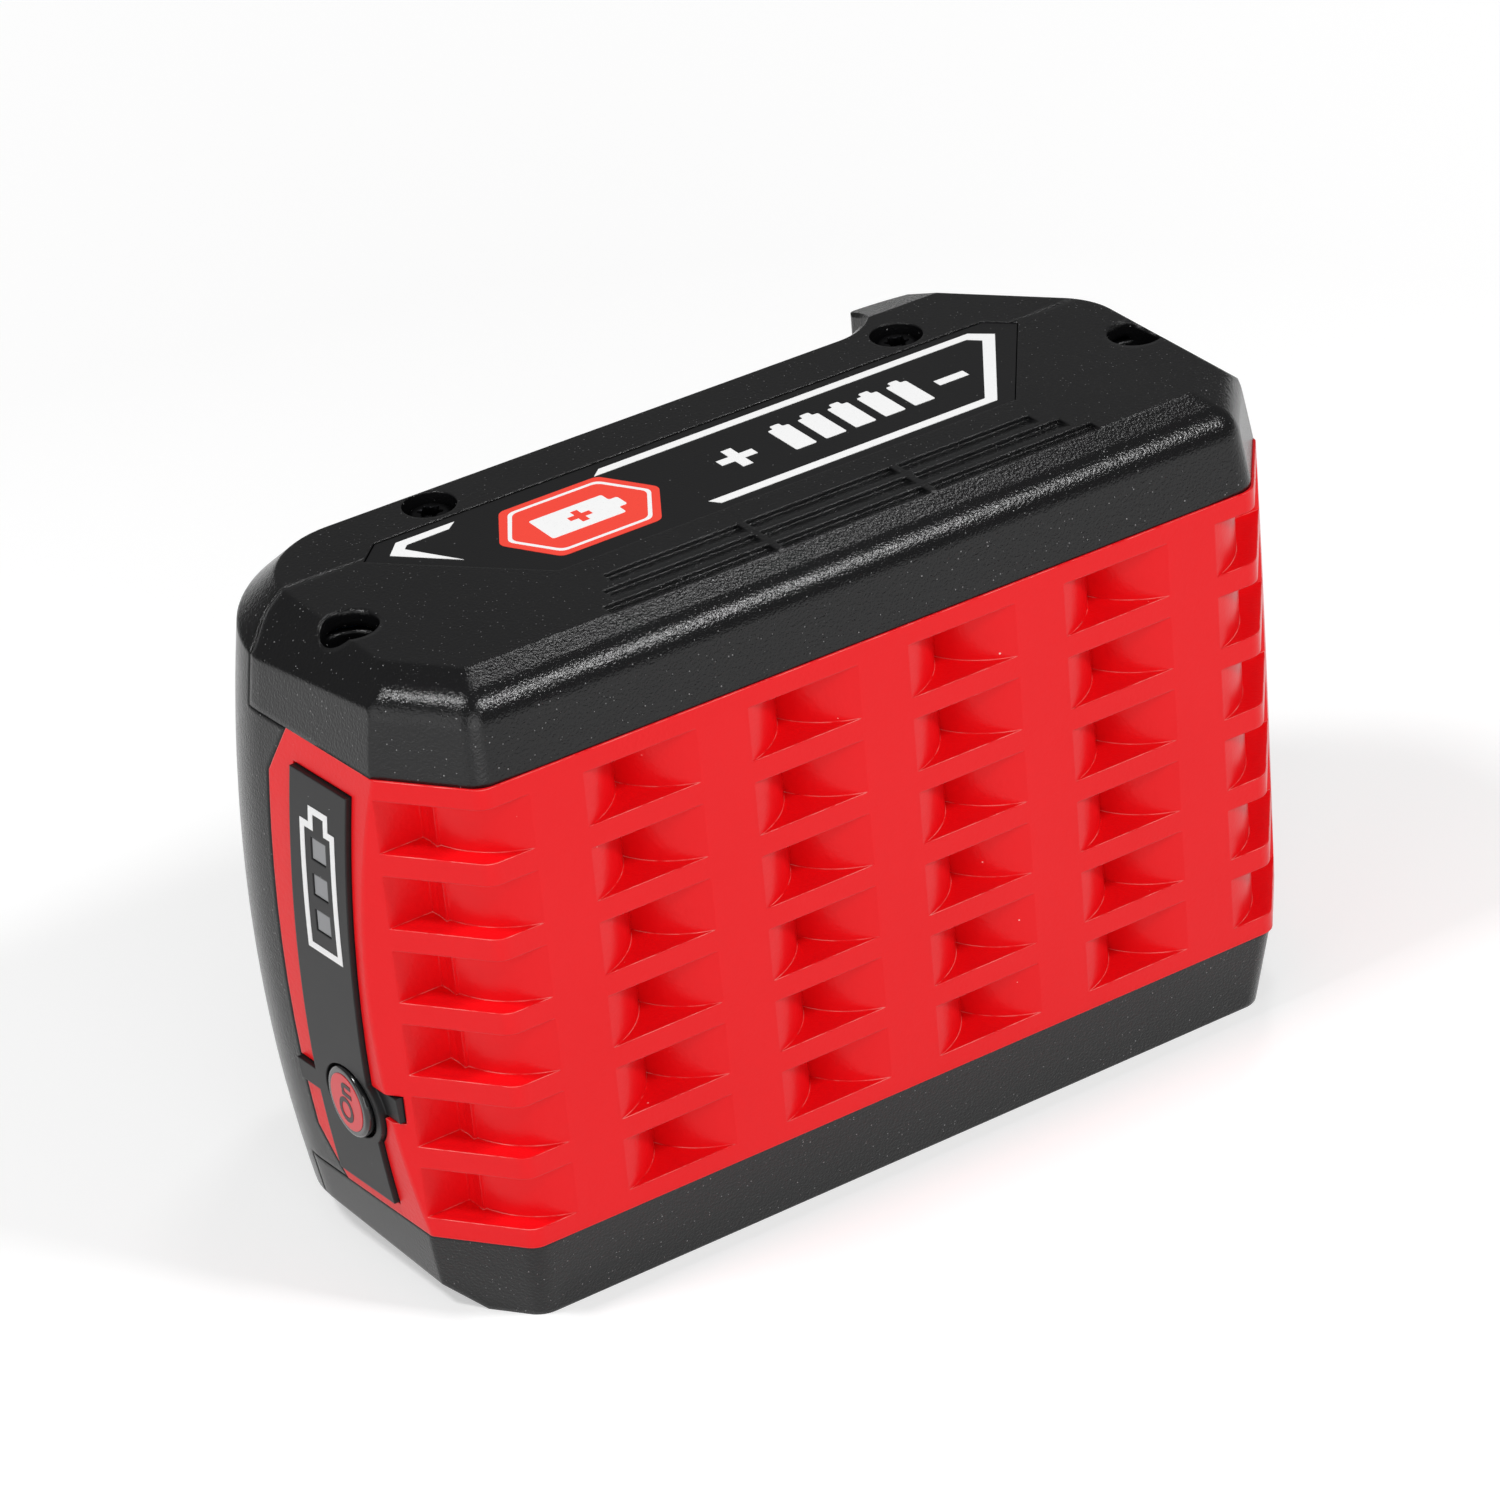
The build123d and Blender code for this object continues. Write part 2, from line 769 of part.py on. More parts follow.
# Label plates and screws, drawn on the upper cheek and mirrored for the lower one
with BuildPart() as upper_label_plate:
    profile(label_outline, pack_width - label_recess, pack_width - label_recess + label_thickness)
save(upper_label_plate, "upper_label_plate")

with BuildPart() as lower_label_plate:
    mirror(upper_label_plate.part, about=mid_plane)
save(lower_label_plate, "lower_label_plate")

screw_rows = [(place, pack_width - end_seat_drop, end_shank) for place in end_screws]
screw_rows += [(place, pack_width - rail_seat_drop, rail_shank) for place in rail_screws]
with BuildPart() as upper_screws:
    for (x, depth), seat, length in screw_rows:
        post(x, depth, head_radius, seat, seat + head_height)
        post(x, depth, shank_radius, seat - length, seat)
        with BuildSketch(plan.offset(seat + head_height - drive_depth)) as drive:
            with Locations((x, depth)):
                RegularPolygon(radius=drive_flat / 2, side_count=6)
        extrude(drive.sketch, amount=drive_depth, mode=Mode.SUBTRACT)
    rims = upper_screws.edges().filter_by(
        lambda e: e.geom_type == GeomType.CIRCLE and abs(e.radius - head_radius) < touch
    ).filter_by(lambda e: any(abs(e.center().Z - row[1] - head_height) < touch for row in screw_rows))
    fillet(rims, radius=head_dish)
save(upper_screws, "upper_screws")

with BuildPart() as lower_screws:
    mirror(upper_screws.part, about=mid_plane)
save(lower_screws, "lower_screws")

# Cells, each standing along Z; the cap points up or down by column
for number, (x, depth) in enumerate(cell_places, start=1):
    up = column_xs.index(x) % 2 == 0
    with BuildPart() as cell:
        foot = cell_low if up else cell_low + cap_height
        post(x, depth, cell_radius, foot, foot + cell_length - cap_height)
        chamfer(cell.edges(), length=cell_chamfer)
        if up:
            post(x, depth, cap_radius, cell_high - cap_height, cell_high)
        else:
            post(x, depth, cap_radius, cell_low, cell_low + cap_height)
    save(cell, f"cell_{number:02d}")

# Nickel strips join the cells in pairs of columns, open at the middle
upper_groups = [(0, 1), (2, 3), (4, 4)]
lower_groups = [(0, 0), (1, 2), (3, 4)]
for name, groups, level in (
    ("upper_strips", upper_groups, cell_high),
    ("lower_strips", lower_groups, cell_low - strip_thickness),
):
    with BuildPart() as strips:
        for first, last in groups:
            slab(
                (column_xs[first] - strip_half, column_xs[last] + strip_half),
                (front_cell_depth - strip_half, back_cell_depth + strip_half),
                (level, level + strip_thickness),
            )
            post(
                (column_xs[first] + column_xs[last]) / 2,
                (front_cell_depth + back_cell_depth) / 2,
                strip_slot_radius, level, level + strip_thickness, Mode.SUBTRACT,
            )
    save(strips, name)

# Insulating sheet and foam pad over each strip layer
with BuildPart() as upper_sheet:
    with BuildSketch(plan.offset(cell_high + strip_thickness)) as sheet:
        with Locations((0, (sheet_front + sheet_back) / 2)):
            RectangleRounded(2 * sheet_half, sheet_back - sheet_front, sheet_corner)
    extrude(sheet.sketch, amount=sheet_thickness)
save(upper_sheet, "upper_insulator")

with BuildPart() as lower_sheet:
    mirror(upper_sheet.part, about=mid_plane)
save(lower_sheet, "lower_insulator")

with BuildPart() as upper_pad:
    pad_base = cell_high + strip_thickness + sheet_thickness
    slab((-pad_half, pad_half), (pad_front, pad_back), (pad_base, pack_width - wall))
save(upper_pad, "upper_foam_pad")

with BuildPart() as lower_pad:
    mirror(upper_pad.part, about=mid_plane)
save(lower_pad, "lower_foam_pad")

# Charge gauge: curved panel, light guide, holder, board and test button
with BuildPart() as panel_tongue:
    drum_ends(notch_recess, 2 * frame_depth)
    slab(
        (-far, -notch_x - panel_gap), (notch_near + panel_gap, notch_far),
        (notch_low + panel_gap, notch_high - panel_gap), Mode.INTERSECT,
    )

with BuildPart() as button_space:
    drum_ends(panel_back, 2 * frame_depth)
    slab((-far, -core_half), (0, 2 * frame_depth), (0, skirt_low), Mode.INTERSECT)

with BuildPart() as guide_space:
    drum_ends(panel_back, 2 * frame_depth)
    section(opening_outline, -far, -core_half, Mode.INTERSECT, -panel_gap - panel_skirt)
    slab((-far, 0), (0, 2 * frame_depth), (skirt_low - touch, pack_width), Mode.INTERSECT)

with BuildPart() as gauge_panel:
    drum_ends(-panel_proud, 2 * frame_depth)
    with BuildSketch(side.offset(-far)) as panel_outline:
        Polygon(*opening_outline, align=None)
        offset(amount=-panel_gap, kind=Kind.INTERSECTION)
        with Locations((test_depth, test_z)):
            Circle(lobe_radius)
        with Locations(((test_depth + frame_depth) / 2, (strip_tab_low + strip_tab_high) / 2)):
            Rectangle(frame_depth - test_depth, strip_tab_high - strip_tab_low - 2 * panel_gap)
    extrude(panel_outline.sketch, amount=far - panel_seat_x, mode=Mode.INTERSECT)
    add(panel_tongue.part)
    add(button_space.part, mode=Mode.SUBTRACT)
    add(guide_space.part, mode=Mode.SUBTRACT)
    for level in range(3):
        low = window_low + level * window_pitch
        slab(
            (-far, -panel_seat_x), (window_near, window_far), (low, low + window_height),
            Mode.SUBTRACT,
        )
    stub(test_depth, test_z, test_radius + test_gap, -far, -core_half, Mode.SUBTRACT)
save(gauge_panel, "gauge_panel")

with BuildPart() as gauge_windows:
    drum_ends(window_recess - panel_proud, 2 * frame_depth)
    with BuildSketch(side.offset(-far)) as window_outline:
        for level in range(3):
            low = window_low + level * window_pitch
            with Locations(((window_near + window_far) / 2, low + window_height / 2)):
                Rectangle(window_far - window_near - 2 * window_gap, window_height - 2 * window_gap)
    extrude(window_outline.sketch, amount=far - guide_leg_x, mode=Mode.INTERSECT)
    slab(
        (-guide_front_x, -panel_seat_x), (guide_near, guide_far),
        (window_low - guide_margin, window_low + 2 * window_pitch + window_height + guide_margin),
    )
save(gauge_windows, "gauge_windows")

with BuildPart() as gauge_holder:
    slab((-panel_seat_x, -holder_back_x), (holder_near, holder_far), (holder_low, holder_high))
    slab(
        (-far, far), (holder_aperture_near, holder_aperture_far),
        (holder_aperture_low, holder_aperture_high), Mode.SUBTRACT,
    )
    stub(test_depth, test_z, test_pocket_radius, -far, -test_pocket_x, Mode.SUBTRACT)
    slab(
        (-far, far), (test_depth - switch_half - switch_gap, test_depth + switch_half + switch_gap),
        (test_z - switch_half - switch_gap, test_z + switch_half + switch_gap), Mode.SUBTRACT,
    )
    slab(
        (-board_front_x, far), (gauge_board_near, gauge_board_far),
        (holder_low + holder_rim, holder_high - holder_rim), Mode.SUBTRACT,
    )
save(gauge_holder, "gauge_holder")

with BuildPart() as gauge_board:
    slab(
        (-board_front_x, -board_back_x),
        (gauge_board_near + gauge_board_gap, gauge_board_far - gauge_board_gap),
        (holder_low + holder_rim + gauge_board_gap, holder_high - holder_rim - gauge_board_gap),
    )
save(gauge_board, "gauge_board")

with BuildPart() as gauge_leds:
    for level in range(3):
        centre = window_low + level * window_pitch + window_height / 2
        slab(
            (-board_front_x - led_height, -board_front_x),
            ((window_near + window_far - led_width) / 2, (window_near + window_far + led_width) / 2),
            (centre - led_width / 2, centre + led_width / 2),
        )
save(gauge_leds, "gauge_leds")

with BuildPart() as test_switch:
    slab(
        (-switch_x, -board_front_x), (test_depth - switch_half, test_depth + switch_half),
        (test_z - switch_half, test_z + switch_half),
    )
save(test_switch, "test_switch")

with BuildPart() as test_switch_dome:
    stub(test_depth, test_z, dome_radius, -test_stem_x, -switch_x)
save(test_switch_dome, "test_switch_dome")

with BuildPart() as test_button:
    stub(test_depth, test_z, test_radius, -test_face_x, -test_flange_x)
    crown_rim = test_button.edges().filter_by(lambda e: e.center().X < -test_face_x + touch)
    fillet(crown_rim, radius=test_edge)
    stub(
        test_depth, test_z, test_flange_radius, -test_flange_x,
        -test_flange_x + test_flange_thickness,
    )
    stub(
        test_depth, test_z, test_stem_radius, -test_flange_x + test_flange_thickness, -test_stem_x,
    )
    stub(test_depth, test_z, inlay_radius, -far, -test_face_x + inlay_thickness, Mode.SUBTRACT)
save(test_button, "test_button")

with BuildPart() as test_button_inlay:
    stub(
        test_depth, test_z, inlay_radius, -test_face_x - inlay_proud, -test_face_x + inlay_thickness,
    )
save(test_button_inlay, "test_button_inlay")

# Main board with its parts, the contact block and the five contact clips
with BuildPart() as main_board:
    slab(
        (-board_low_x, board_high_x), (board_base, board_top),
        (middle - board_half, middle + board_half),
    )
save(main_board, "main_board")

with BuildPart() as board_chips:
    for x, z, length, width, height in chip_sizes:
        slab(
            (x - length / 2, x + length / 2), (board_top, board_top + height),
            (middle + z - width / 2, middle + z + width / 2),
        )
save(board_chips, "board_chips")

with BuildPart() as terminal_block:
    slab(
        (-block_low_x, -block_high_x), (board_top, block_top),
        (middle - block_half, middle + block_half),
    )
    for slot in slot_offsets:
        slab(
            (-far, -slot_end_x), (block_slot_floor, far),
            (middle + slot - block_slot / 2, middle + slot + block_slot / 2), Mode.SUBTRACT,
        )
save(terminal_block, "terminal_block")

with BuildPart() as contact_terminals:
    for slot in slot_offsets:
        centre = middle + slot
        slab(
            (-clip_low_x, -clip_high_x), (block_slot_floor, block_slot_floor + clip_leaf),
            (centre - clip_half, centre + clip_half),
        )
        for way in (-1, 1):
            leaf = [
                (block_slot_floor, centre + way * clip_half),
                (clip_knee, centre + way * clip_half),
                (clip_waist, centre + way * (clip_pinch + clip_leaf / 2)),
                (clip_top, centre + way * (clip_pinch + clip_flare + clip_leaf / 2)),
                (clip_top, centre + way * (clip_pinch + clip_flare - clip_leaf / 2)),
                (clip_waist, centre + way * (clip_pinch - clip_leaf / 2)),
                (clip_knee, centre + way * (clip_half - clip_leaf)),
                (block_slot_floor, centre + way * (clip_half - clip_leaf)),
            ]
            section(leaf, -clip_low_x, -clip_high_x)
save(contact_terminals, "contact_terminals")

# Leads: flat straps from the outer strips to the board
with BuildPart() as positive_lead:
    strap = (lead_x - lead_width / 2, lead_x + lead_width / 2)
    slab(
        strap, (back_cell_depth + strip_half, board_top + lead_thickness),
        (cell_high, cell_high + lead_thickness),
    )
    slab(strap, (board_top, board_top + lead_thickness), (lead_low_z, cell_high + lead_thickness))
    slab(
        (board_high_x - lead_lap, strap[1]), (board_top, board_top + lead_thickness),
        (lead_low_z, lead_low_z + lead_turn),
    )
save(positive_lead, "positive_lead")

with BuildPart() as negative_lead:
    strap = (-channel_x - lead_width / 2, -channel_x + lead_width / 2)
    slab(
        (-lead_x - strip_half + lead_thickness, strap[1]),
        (back_cell_depth + strip_half, back_cell_depth + strip_half + lead_turn),
        (cell_low - lead_thickness, cell_low),
    )
    slab(
        strap, (back_cell_depth + strip_half, board_base), (cell_low - lead_thickness, cell_low),
    )
    slab(
        strap, (board_base - lead_thickness, board_base), (cell_low - lead_thickness, channel_end),
    )
save(negative_lead, "negative_lead")

# Latch: hook plate, release button and its springs
with BuildPart() as latch:
    slab(
        (plate_low_x, plate_high_x), (plate_base, plate_base + plate_thickness),
        (middle - plate_half, middle + plate_half),
    )
    hook = [
        (hook_low_x, plate_base + touch), (hook_low_x, hook_ramp_depth), (hook_ramp_x, pack_height),
        (hook_high_x, pack_height), (hook_high_x, plate_base + touch),
    ]
    profile(hook, middle - hook_half, middle + hook_half)
    hook_tips = latch.edges().filter_by(
        lambda e: e.center().Y > base_y + hook_ramp_depth - touch and e.center().X > -hook_low_x
    )
    chamfer(hook_tips, length=hook_edge)
save(latch, "latch")

with BuildPart() as release_button:
    body = [
        (button_low_x, slope_depth(button_low_x, button_rise)),
        (button_high_x, slope_depth(button_high_x, button_rise)),
        (button_high_x, slope_depth(button_high_x, button_rise - button_thickness)),
        (button_low_x, slope_depth(button_low_x, button_rise - button_thickness)),
    ]
    profile(body, middle - button_half, middle + button_half)
    lip_low = button_low_x - flange_lip
    lip_high = button_high_x + flange_lip
    lip_top = -wall - lip_gap
    lip = [
        (lip_low, slope_depth(lip_low, lip_top)), (lip_high, slope_depth(lip_high, lip_top)),
        (lip_high, slope_depth(lip_high, lip_top - lip_thickness)),
        (lip_low, slope_depth(lip_low, lip_top - lip_thickness)),
    ]
    profile(lip, middle - button_half - flange_lip, middle + button_half + flange_lip)
    slab(
        (lip_low, plate_high_x),
        (plate_base + plate_thickness, slope_depth(lip_low, lip_top - lip_thickness)),
        (middle - spring_offset, middle + spring_offset),
    )
    slope_plane = Plane(
        origin=(button_low_x, base_y + slope_depth(button_low_x, button_rise), middle),
        x_dir=(1 / slope_length, -slope_rate / slope_length, 0), z_dir=(0, 0, 1),
    )
    run = (button_high_x - button_low_x) * slope_length
    with BuildSketch(slope_plane) as ridges:
        for number in range(ridge_count):
            with Locations((run * (number + 1) / (ridge_count + 1), 0)):
                Rectangle(ridge_width, 2 * ridge_height)
    extrude(ridges.sketch, amount=button_half - 2 * ridge_width, both=True)
save(release_button, "release_button")

with BuildPart() as latch_springs:
    spring_run = plate_base - board_base - 2 * spring_wire
    for way in (-1, 1):
        with BuildLine(mode=Mode.PRIVATE) as coil:
            Helix(
                pitch=spring_run / spring_turns, height=spring_run, radius=spring_radius,
                center=(spring_x, base_y + board_base + spring_wire, middle + way * spring_offset),
                direction=(0, 1, 0),
            )
        with BuildSketch(Plane(origin=coil.line @ 0, z_dir=coil.line % 0), mode=Mode.PRIVATE) as wire:
            Circle(spring_wire)
        sweep(wire.sketch, path=coil.line)
save(latch_springs, "latch_springs")
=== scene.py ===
"""Dresses the power tool battery pack for a studio picture.

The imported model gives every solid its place.  This script adds the printed graphics, the screws,
the springs and the switch dome, gives each part the finish of the real one, and sets up camera and
lamps.  Lengths in the classes are millimetres, and a depth counts from the pack's ribbed front.
"""

from __future__ import annotations

import json
import logging
import math
from dataclasses import dataclass
from enum import Enum
from typing import Any, Callable, Sequence

import bmesh
import bpy
from mathutils import Matrix, Vector
from mathutils.bvhtree import BVHTree

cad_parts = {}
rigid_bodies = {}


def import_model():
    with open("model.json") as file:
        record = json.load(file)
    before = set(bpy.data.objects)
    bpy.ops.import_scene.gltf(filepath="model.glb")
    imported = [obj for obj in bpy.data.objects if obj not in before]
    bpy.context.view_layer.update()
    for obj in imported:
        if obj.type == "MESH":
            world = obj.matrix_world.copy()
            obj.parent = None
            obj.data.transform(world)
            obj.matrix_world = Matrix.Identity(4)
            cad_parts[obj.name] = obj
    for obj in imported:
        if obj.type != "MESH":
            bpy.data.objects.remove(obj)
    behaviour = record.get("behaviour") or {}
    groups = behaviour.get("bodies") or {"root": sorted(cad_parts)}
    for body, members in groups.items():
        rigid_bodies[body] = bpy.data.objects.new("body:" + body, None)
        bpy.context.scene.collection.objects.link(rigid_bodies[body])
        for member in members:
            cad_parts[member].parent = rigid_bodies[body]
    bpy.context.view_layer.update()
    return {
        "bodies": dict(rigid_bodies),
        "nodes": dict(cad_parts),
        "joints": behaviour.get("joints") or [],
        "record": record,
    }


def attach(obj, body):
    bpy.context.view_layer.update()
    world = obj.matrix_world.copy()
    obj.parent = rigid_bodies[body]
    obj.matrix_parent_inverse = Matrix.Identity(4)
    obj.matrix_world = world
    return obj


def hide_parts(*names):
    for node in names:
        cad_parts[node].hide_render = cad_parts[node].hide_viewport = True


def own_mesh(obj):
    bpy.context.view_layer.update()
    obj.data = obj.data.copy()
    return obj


LOG = logging.getLogger("battery_pack")

MM = 0.001
BASE_Y = -31.4
PACK_WIDTH = 72.6
MIDDLE = PACK_WIDTH / 2
# How far print reaches into what carries it, so that it never floats.
PRINT_FOOT = -0.01
# How many times longer than wide the lines of a worked metal are.
STRETCH = 30.0
# The colour sockets of a Mix node, whose names its other types share.
MIX_A = 6
MIX_B = 7

Point = tuple[float, float]
Loop = Sequence[Point]
Mesh = bpy.types.Mesh
Tree = bpy.types.NodeTree
Socket = bpy.types.NodeSocket
Surface = tuple[list[tuple[Any, str]], dict[str, Any], dict[str, Any]]


class Side(Enum):
    """The two mirrored sides of the pack."""

    UPPER = "upper"
    LOWER = "lower"


class Metal(Enum):
    """Which way a rolled or drawn metal carries its fine lines."""

    ALONG_X = (1.0, STRETCH, STRETCH)
    ALONG_Z = (STRETCH, STRETCH, 1.0)
    NONE = (1.0, 1.0, 1.0)


def linear(code: str) -> tuple[float, float, float, float]:
    """Turns a written sRGB colour into linear light.

    Args:
        code: six hex digits.

    Returns:
        Red, green, blue and an alpha of one.
    """
    parts = [int(code[i : i + 2], 16) / 255 for i in (0, 2, 4)]
    light = [p / 12.92 if p <= 0.04045 else ((p + 0.055) / 1.055) ** 2.4 for p in parts]
    return light[0], light[1], light[2], 1.0


def at(x: float, depth: float, z: float) -> Vector:
    """Gives the place of a point of the pack in metres.

    Args:
        x: along the pack.
        depth: from the ribbed front.
        z: above the floor.

    Returns:
        The point in the row frame.
    """
    return Vector((x, BASE_Y + depth, z)) * MM


def add_node(tree: Tree, kind: str, inputs: dict[Any, Any] | None = None, **settings: Any) -> Any:
    """Adds one node with its settings and its links.

    Args:
        tree: the tree that gets the node.
        kind: the node's type name.
        inputs: socket name or number to a value, to an output socket, or to a node, which stands
            for its first output in use.
        settings: attributes of the node.

    Returns:
        The new node.
    """
    node = tree.nodes.new(kind)
    for key, value in settings.items():
        setattr(node, key, value)
    for key, value in (inputs or {}).items():
        if isinstance(value, bpy.types.Node):
            value = next(socket for socket in value.outputs if socket.enabled)
        if isinstance(value, Socket):
            tree.links.new(value, node.inputs[key])
        else:
            node.inputs[key].default_value = value
    return node


def new_material(name: str) -> tuple[bpy.types.Material, Tree]:
    """Makes an empty node material.

    Args:
        name: the material's name.

    Returns:
        The material and its tree.
    """
    material = bpy.data.materials.new(name)
    material.use_nodes = True
    material.node_tree.nodes.clear()
    return material, material.node_tree


def new_object(name: str, data: Any) -> bpy.types.Object:
    """Links a new object into the scene.

    Args:
        name: the object's name.
        data: its mesh, curve, light or camera.

    Returns:
        The object.
    """
    made = bpy.data.objects.new(name, data)
    bpy.context.scene.collection.objects.link(made)
    return made


@dataclass(frozen=True)
class Finish:
    """What every finish shares: a colour with layers over it, a relief, and one shader."""

    name: str
    colour: str

    def surface(self, tree: Tree, place: Socket) -> Surface:
        """Adds the finish's own nodes.

        Args:
            tree: the material's tree.
            place: the object coordinates.

        Returns:
            Share and colour of each layer, the relief's inputs and the shader's other inputs.
        """
        raise NotImplementedError(self.name)

    def material(self) -> bpy.types.Material:
        """Builds the node tree.

        Returns:
            The finished material.
        """
        material, tree = new_material(self.name)
        place = add_node(tree, "ShaderNodeTexCoord").outputs["Object"]
        layers, relief, inputs = self.surface(tree, place)
        colour: Any = linear(self.colour)
        for share, code in layers:
            mixed = {0: share, MIX_A: colour, MIX_B: linear(code)}
            colour = add_node(tree, "ShaderNodeMix", mixed, data_type="RGBA")
        bump = add_node(tree, "ShaderNodeBump", relief)
        inputs = {"Base Color": colour, "Normal": bump, **inputs}
        shader = add_node(tree, "ShaderNodeBsdfPrincipled", inputs)
        add_node(tree, "ShaderNodeOutputMaterial", {"Surface": shader})
        return material


@dataclass(frozen=True)
class MouldedPlastic(Finish):
    """A plastic moulded in a textured steel tool.

    The grain is the spark-eroded skin of the tool, pressed into the plastic.  The real one is about
    0.1 mm wide, and it is drawn coarser so that it shows as the crawl that breaks up highlights.
    Flecks are bare glass fibre ends and dust.  Edges are rounded a little, and those that look upward
    are painted paler: partly rubbed wear, partly a painted highlight of the lamps above.
    """

    shade: str
    fleck: str
    # Colour of upward-facing edges: rubbed wear, and a painted highlight of the lamps above.
    rubbed_and_lit: str
    grain: float = 0.24
    grain_depth: float = 0.02
    cloud: float = 18.0
    roughness: float = 0.45
    spread: float = 0.08
    fleck_spacing: float = 0.8
    fleck_share: float = 0.6
    fleck_size: float = 0.1
    round_edge: float = 0.3
    end_round: float = 0.0
    end_zone: Point = (40.5, 44.5)
    # How strongly that paler colour is painted on upward-facing edges: partly wear, partly a painted
    # highlight.
    rub_and_sheen: float = 0.5
    rub_and_sheen_patch: float = 2.2
    coat: float = 0.0
    coat_roughness: float = 0.12
    level: float = 0.5
    ior: float = 1.52

    def surface(self, tree: Tree, place: Socket) -> Surface:
        """Adds the clouded colour, the flecks, the rubbed edges and the grain.

        Args:
            tree: the material's tree.
            place: the object coordinates.

        Returns:
            The layers, the relief and the shader's other inputs.
        """
        edge = add_node(tree, "ShaderNodeBevel", {"Radius": self.edge_radius(tree, place)}, samples=8)
        broad = add_node(tree, "ShaderNodeTexNoise", {
            "Vector": place, "Scale": 1 / (self.cloud * MM), "Detail": 3.0, "Roughness": 0.55,
        })
        grain = add_node(tree, "ShaderNodeTexNoise", {
            "Vector": place, "Scale": 1 / (self.grain * MM), "Detail": 2.0, "Roughness": 0.6,
        })
        low, high = self.roughness - self.spread, self.roughness + self.spread
        rough = add_node(tree, "ShaderNodeMapRange", {"Value": broad, "To Min": low, "To Max": high})
        # The last layer paints upward edges paler: rubbed wear, and a painted highlight.
        layers = [
            (broad, self.shade), (self.fleck_mask(tree, place), self.fleck),
            (self.rub_and_sheen_mask(tree, edge.outputs[0], place), self.rubbed_and_lit),
        ]
        relief = {"Strength": 1.0, "Distance": self.grain_depth * MM, "Height": grain, "Normal": edge}
        return layers, relief, {
            "Roughness": rough, "IOR": self.ior, "Specular IOR Level": self.level,
            "Coat Weight": self.coat, "Coat Roughness": self.coat_roughness,
        }

    def edge_radius(self, tree: Tree, place: Socket) -> Any:
        """Gives the radius that edges are rounded to, larger towards the pack's ends if asked.

        Args:
            tree: the material's tree.
            place: the object coordinates.

        Returns:
            The radius in metres, or the node that gives it.
        """
        if not self.end_round:
            return self.round_edge * MM
        parts = add_node(tree, "ShaderNodeSeparateXYZ", {0: place})
        out = add_node(tree, "ShaderNodeMath", {0: parts.outputs[0]}, operation="ABSOLUTE")
        start, stop = self.end_zone
        return add_node(tree, "ShaderNodeMapRange", {
            "Value": out, "From Min": start * MM, "From Max": stop * MM,
            "To Min": self.round_edge * MM, "To Max": self.end_round * MM,
        })

    def fleck_mask(self, tree: Tree, place: Socket) -> Any:
        """Scatters small flecks of differing size.

        Args:
            tree: the material's tree.
            place: the object coordinates.

        Returns:
            The node that gives each fleck's strength, and zero elsewhere.
        """
        scale = 1 / (self.fleck_spacing * MM)
        cells = add_node(tree, "ShaderNodeTexVoronoi", {"Vector": place, "Scale": scale}, feature="F1")
        chances = add_node(tree, "ShaderNodeSeparateColor", {0: cells.outputs["Color"]})
        size, some, strength = chances.outputs
        most = self.fleck_size / self.fleck_spacing
        reach = add_node(tree, "ShaderNodeMath", {0: size, 1: most}, operation="MULTIPLY")
        mask = add_node(tree, "ShaderNodeMath", {0: cells, 1: reach}, operation="LESS_THAN")
        chosen = add_node(tree, "ShaderNodeMath", {0: some, 1: self.fleck_share}, operation="LESS_THAN")
        for factor in (chosen, strength):
            mask = add_node(tree, "ShaderNodeMath", {0: mask, 1: factor}, operation="MULTIPLY")
        return mask

    def rub_and_sheen_mask(self, tree: Tree, rounded: Socket, place: Socket) -> Any:
        """Finds the edges that look upward and paints them paler, broken up by a noise: partly rubbed
        wear, partly a painted highlight of the lamps above.

        Args:
            tree: the material's tree.
            rounded: the normal with its edges rounded.
            place: the object coordinates.

        Returns:
            The node that says how much paler the surface is painted, from zero to the finish's strength
            for it.
        """
        true = add_node(tree, "ShaderNodeNewGeometry").outputs["Normal"]
        turn = add_node(tree, "ShaderNodeVectorMath", {0: rounded, 1: true}, operation="DOT_PRODUCT")
        patchy = add_node(tree, "ShaderNodeTexNoise", {
            "Vector": place, "Scale": 1 / (self.rub_and_sheen_patch * MM), "Detail": 4.0,
        })
        # Only upward-facing edges: there the paler colour is partly a painted highlight of the overhead
        # lamps.
        facing = add_node(tree, "ShaderNodeSeparateXYZ", {0: rounded}).outputs[2]
        mask = None
        for value, low, high, most in (
            (turn, 0.97, 0.78, self.rub_and_sheen), (patchy, 0.38, 0.62, 1.0), (facing, 0.1, 0.45, 1.0),
        ):
            limits = {"Value": value, "From Min": low, "From Max": high, "To Max": most}
            step = add_node(tree, "ShaderNodeMapRange", limits)
            both = {0: mask, 1: step}
            mask = add_node(tree, "ShaderNodeMath", both, operation="MULTIPLY") if mask else step
        return mask


@dataclass(frozen=True)
class ScreenInk(Finish):
    """Screen-printed ink: flat, opaque, with the mesh of the screen as a faint weave in its skin."""

    thin: str
    roughness: float = 0.5
    mesh: float = 0.12
    relief: float = 0.006

    def surface(self, tree: Tree, place: Socket) -> Surface:
        """Adds the weave, which thins the ink a little.

        Args:
            tree: the material's tree.
            place: the object coordinates.

        Returns:
            The layers, the relief and the shader's other inputs.
        """
        scale = 1 / (self.mesh * MM)
        weave = add_node(tree, "ShaderNodeTexNoise", {"Vector": place, "Scale": scale, "Detail": 2.0})
        limits = {"Value": weave, "From Min": 0.62, "From Max": 0.78}
        cover = add_node(tree, "ShaderNodeMapRange", limits)
        relief = {"Strength": 0.5, "Distance": self.relief * MM, "Height": weave}
        return [(cover, self.thin)], relief, {"Roughness": self.roughness, "IOR": 1.5}


